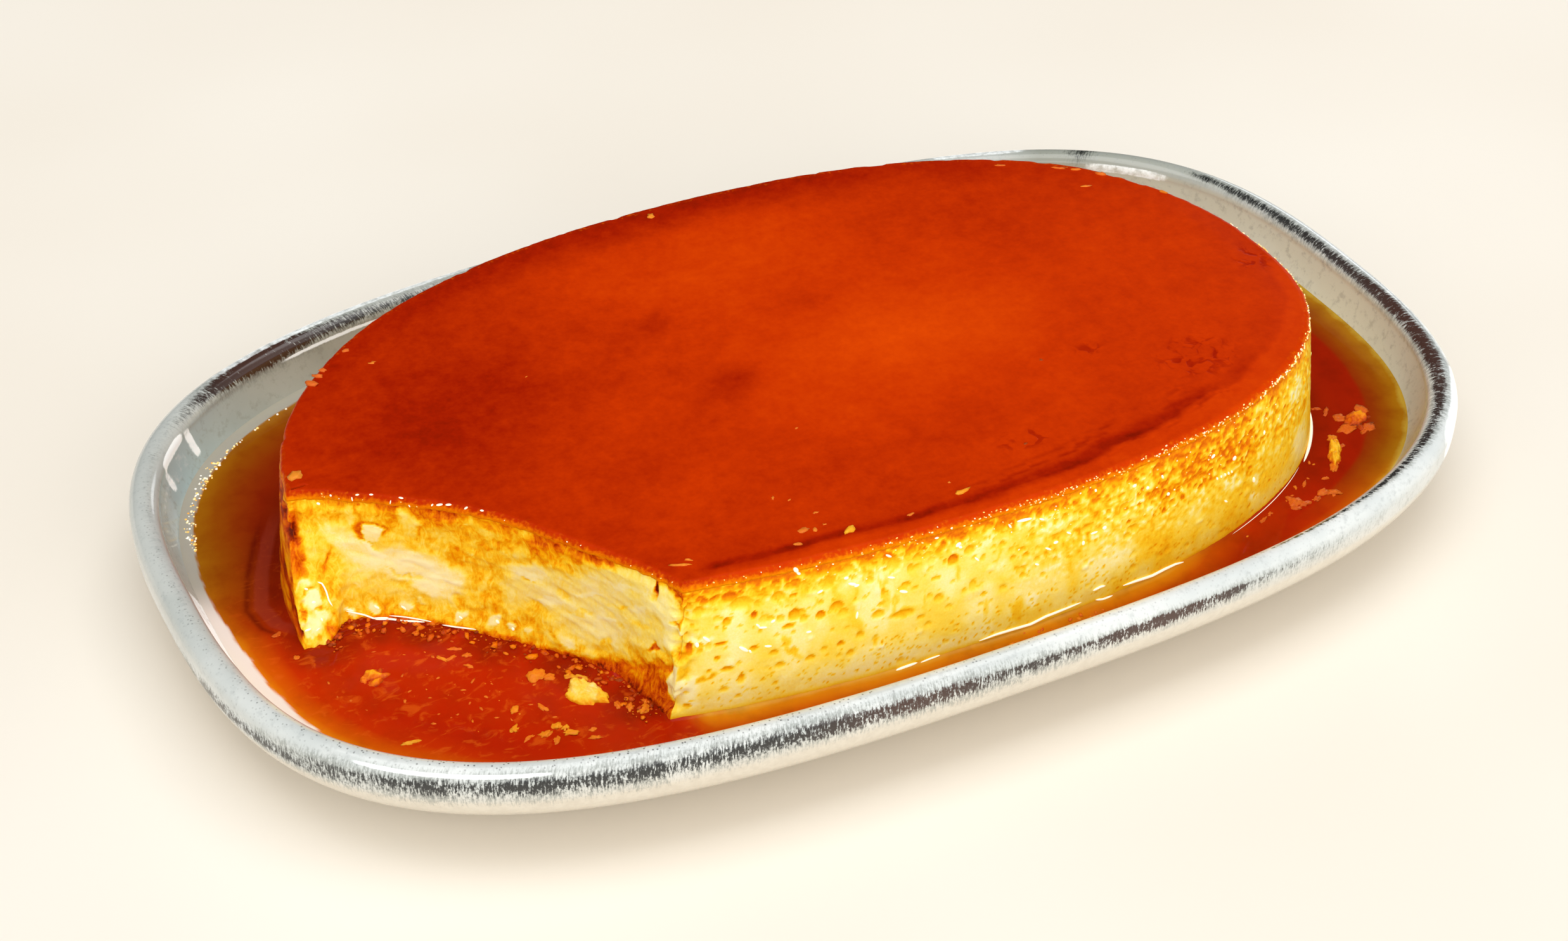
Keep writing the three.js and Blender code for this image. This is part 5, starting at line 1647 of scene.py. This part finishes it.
def small_crumbs():
    """The small bits of custard: in the caramel, along the foot of the cut and on top."""
    rng = np.random.default_rng(21)
    parts = []
    films = []

    def add_bit(at, half, turn, stain, film, detail):
        points, faces = broken_lump(at, half, turn, len(parts) + 90, detail, 0.75)
        parts.append((points, faces, stain))
        films.append(np.full(len(points), film))

    for (x, y), half, turn, stain in POOL_CRUMBS:
        add_bit((x, y, CARAMEL_LEVEL - half[2] * 0.3), half, turn, stain + 0.12, 0.66, 3)
    fine = np.linspace(0, 1, 900)
    brow = flan_ring(FLAN_TOP, fine, fine)
    for place, half, turn, stain, film in TOP_CRUMBS:
        offset = np.array(place) - FLAN_CENTRE
        room = reach_of(brow, np.arctan2(offset[1], offset[0])) - 1.2
        x, y = FLAN_CENTRE + offset * min(1, room / np.linalg.norm(offset))
        add_bit((x, y, FLAN_TOP - 0.22), half, turn, stain + 0.1, min(1, film + 0.2), 2)
    # Fine crumbs that fell along the foot of the cut.
    for _ in range(300):
        along = rng.uniform(5, 76)
        here, _, outward = side_spot(along, CARAMEL_LEVEL + 0.5, True)
        x, y = here + outward * (0.1 + 4.4 * rng.uniform() ** 2.4)
        size = 0.14 + 0.6 * rng.uniform() ** 3
        half = (size * rng.uniform(0.9, 2.2), size, size * 0.8)
        add_bit((x, y, CARAMEL_LEVEL + rng.uniform(-0.1, 0.25)), half, rng.uniform(0, 180),
                rng.uniform(0.66, 1.0), rng.uniform(0.1, 0.5), 1)
    # Flecks that drift in the caramel before the cut.
    for _ in range(90):
        x, y = -86 + 12 * rng.normal(), -38 + 10 * rng.normal()
        if np.hypot(x + 60, (y + 10) * 1.2) < 30 or abs(x / 112) ** 2.5 + abs(y / 64) ** 2.5 > 1:
            continue
        size = rng.uniform(0.12, 0.34)
        half = (size * rng.uniform(1, 2.6), size, size * 0.5)
        add_bit((x, y, CARAMEL_LEVEL - 0.05), half, rng.uniform(0, 180),
                rng.uniform(0.64, 0.8), 0.7, 1)
    # A few beside the moulded side.
    for _ in range(34):
        along = rng.choice([rng.uniform(60, 80), rng.uniform(112, 140)])
        here, _, outward = side_spot(along, CARAMEL_LEVEL + 0.5, False)
        x, y = here + outward * rng.uniform(0.3, 3.2)
        size = rng.uniform(0.2, 0.45)
        add_bit((x, y, CARAMEL_LEVEL), (size * 1.6, size, size * 0.7), rng.uniform(0, 180),
                rng.uniform(0.6, 0.8), 0.6, 1)
    points, triangles, stain = joined(parts)
    return add_piece("small_crumbs", points, triangles, wet_crumb_finish(), "custard",
                     stain=stain, film=np.concatenate(films))


def rim_bubbles():
    """Tiny bubbles of syrup where the caramel meets the plate's wall at the left, glowing as painted
    glints.
    """
    rng = np.random.default_rng(33)
    ball, faces = lump_mesh(2)
    parts = []
    insets, floors = wall_inside(np.linspace(0, 1, 60))
    level_inset = float(np.interp(CARAMEL_LEVEL, floors, insets))
    for _ in range(130):
        bearing = rng.choice([rng.uniform(130, 162), rng.normal(146, 2.5), rng.normal(157, 3)])
        crowded = hump(bearing, 146, 5) + hump(bearing, 157, 5)
        ring = plate_ring(level_inset + 2.4 + rng.uniform(-1.8, 0.5) * crowded, 1440)
        x, y = ring[np.argmin(np.abs(plate_bearing(*ring.T) - bearing))]
        size = rng.uniform(0.1, 0.28)
        parts.append((ball * (size, size, size * 0.8) + (x, y, CARAMEL_LEVEL + 0.02), faces,
                      rng.uniform(-0.2, 1.8)))
    points, triangles, warm = joined(parts)
    return add_piece("rim_bubbles", points, triangles, painted_glint_finish(), "liquid_caramel",
                     warm=warm)


# ---- broken custard -----------------------------------------------------------------------------


def broken_lump(centre, half, turn, seed, detail, rough):
    """One torn lump: its points and triangles."""
    ball, faces = lump_mesh(detail)
    swell = 1 + rough * (noise(ball * 2.2 + seed * 3.7, 1, seed=seed, octaves=3) - 0.55) * 2
    points = ball * swell[:, None] * np.asarray(half)
    angle = math.radians(turn)
    return spun(points, math.cos(angle), math.sin(angle)) + np.asarray(centre), faces


# The solids of the large lumps: name, place, half sizes, turn in degrees and stain.
CRUMBS = [
    ("crumb_by_cut", (-66.9, -44.9), (4.6, 2.6, 3.9), -56, 0.3),
    ("crumb_left", (-98.6, -24.4), (3.6, 2.3, 3.5), 8, 0.56),
    ("crumb_right", (101.6, -40.2), (4.4, 3.0, 3.6), 35, 0.68),
    ("crumb_right_long", (90.9, -47.2), (4.7, 2.0, 3.6), 52, 0.46),
]


def broken_lumps(finish):
    """The four large lumps, each standing where the underside of its solid is."""
    for seed, (node, at, half, turn, stained) in enumerate(CRUMBS):
        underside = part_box(node)[0].z / MM
        centre = (*at, underside + half[2] * 0.98)
        points, faces = broken_lump(centre, half, turn, seed + 50, 5, 0.4)
        stain = stained + 0.3 * smooth(14.2, 12.8, points[:, 2])
        stain = stain + 0.4 * (noise(points, 1.3, seed=seed, octaves=3) - 0.5)
        add_piece(node.replace("crumb", "custard_lump"), points, faces.tolist(), finish,
                  "custard", [node], stain=stain, film=np.full(len(points), 0.25))


# ---- studio -------------------------------------------------------------------------------------

CAMERA_PLACE = Vector((-192.69, -371.31, 327.98)) * MM
CAMERA_TARGET = Vector((-0.499, 9.75, 0)) * MM
CAMERA_ROLL = math.radians(-0.083)
CAMERA_LENS = 61.63
CAMERA_SHIFT_UP = 0.0041


def camera():
    """The camera above the front left corner of the plate."""
    lens = bpy.data.cameras.new("camera")
    lens.lens = CAMERA_LENS
    lens.sensor_width = 36
    lens.shift_y = CAMERA_SHIFT_UP
    lens.clip_start = 0.01
    eye = bpy.data.objects.new("camera", lens)
    bpy.context.scene.collection.objects.link(eye)
    look = (CAMERA_TARGET - CAMERA_PLACE).to_track_quat("-Z", "Y").to_matrix().to_4x4()
    eye.matrix_world = (Matrix.Translation(CAMERA_PLACE) @ look
                        @ Matrix.Rotation(CAMERA_ROLL, 4, "Z"))
    bpy.context.scene.camera = eye


def soft_light(name, place, width, height, brightness, tint=(1, 1, 1)):
    """A softbox that faces the plate, in metres; brightness is that of its face."""
    lamp = bpy.data.lights.new(name, "AREA")
    lamp.shape = "RECTANGLE"
    lamp.size = width
    lamp.size_y = height
    lamp.energy = brightness * math.pi * width * height
    lamp.color = tint
    box = bpy.data.objects.new(name, lamp)
    bpy.context.scene.collection.objects.link(box)
    away = Vector((0, 0, 0.02)) - Vector(place)
    box.matrix_world = (Matrix.Translation(place)
                        @ away.to_track_quat("-Z", "Y").to_matrix().to_4x4())


def studio():
    """Soft lights, a sky that is lighter behind the camera, and a pale table."""
    soft_light("overhead", (0.0, 0.0, 1.1), 1.2, 0.7, 2.2)
    soft_light("front_fill", (-0.3, -1.4, 0.8), 1.8, 1.0, 1.6, (1, 0.98, 0.95))
    soft_light("low_fill", (0.75, -1.2, 0.34), 1.0, 0.5, 0.7, (1, 0.98, 0.94))
    soft_light("window", (1.05, 0.9, 0.36), 0.3, 0.36, 3.6, (0.93, 0.97, 1))

    world = bpy.data.worlds.new("studio")
    world.use_nodes = True
    nodes = world.node_tree.nodes
    links = world.node_tree.links
    direction = nodes.new("ShaderNodeTexCoord").outputs["Generated"]
    facing = nodes.new("ShaderNodeVectorMath")
    facing.operation = "DOT_PRODUCT"
    links.new(direction, facing.inputs[0])
    facing.inputs[1].default_value = (0.4, 0.8, 0.1)
    ramp = nodes.new("ShaderNodeValToRGB")
    set_stops(ramp.color_ramp, [(0.0, (0.86, 0.85, 0.83, 1)), (0.55, (0.05, 0.05, 0.05, 1))])
    links.new(facing.outputs["Value"], ramp.inputs[0])
    links.new(ramp.outputs[0], nodes["Background"].inputs[0])
    bpy.context.scene.world = world
    bpy.context.scene.view_settings.view_transform = "Standard"

    f = Finish("pale_table")
    soft = f.grain(f.place(), 180, detail=2)
    tone = f.blended(soft.between(0.3, 0.7), shade(248, 242, 231), shade(243, 235, 222))
    half = 3000
    corners = [(-half, -half, 0), (half, -half, 0), (half, half, 0), (-half, half, 0)]
    table = add_mesh("table", corners, [[0, 1, 2, 3]],
                     f.finished(Base_Color=tone, Roughness=0.6, Specular_IOR_Level=0.2), {})


camera()
plate()
caramel_pool()
custard()
glaze()
broken_lumps(wet_crumb_finish())
small_crumbs()
painted_glint_beads()
rim_bubbles()
studio()
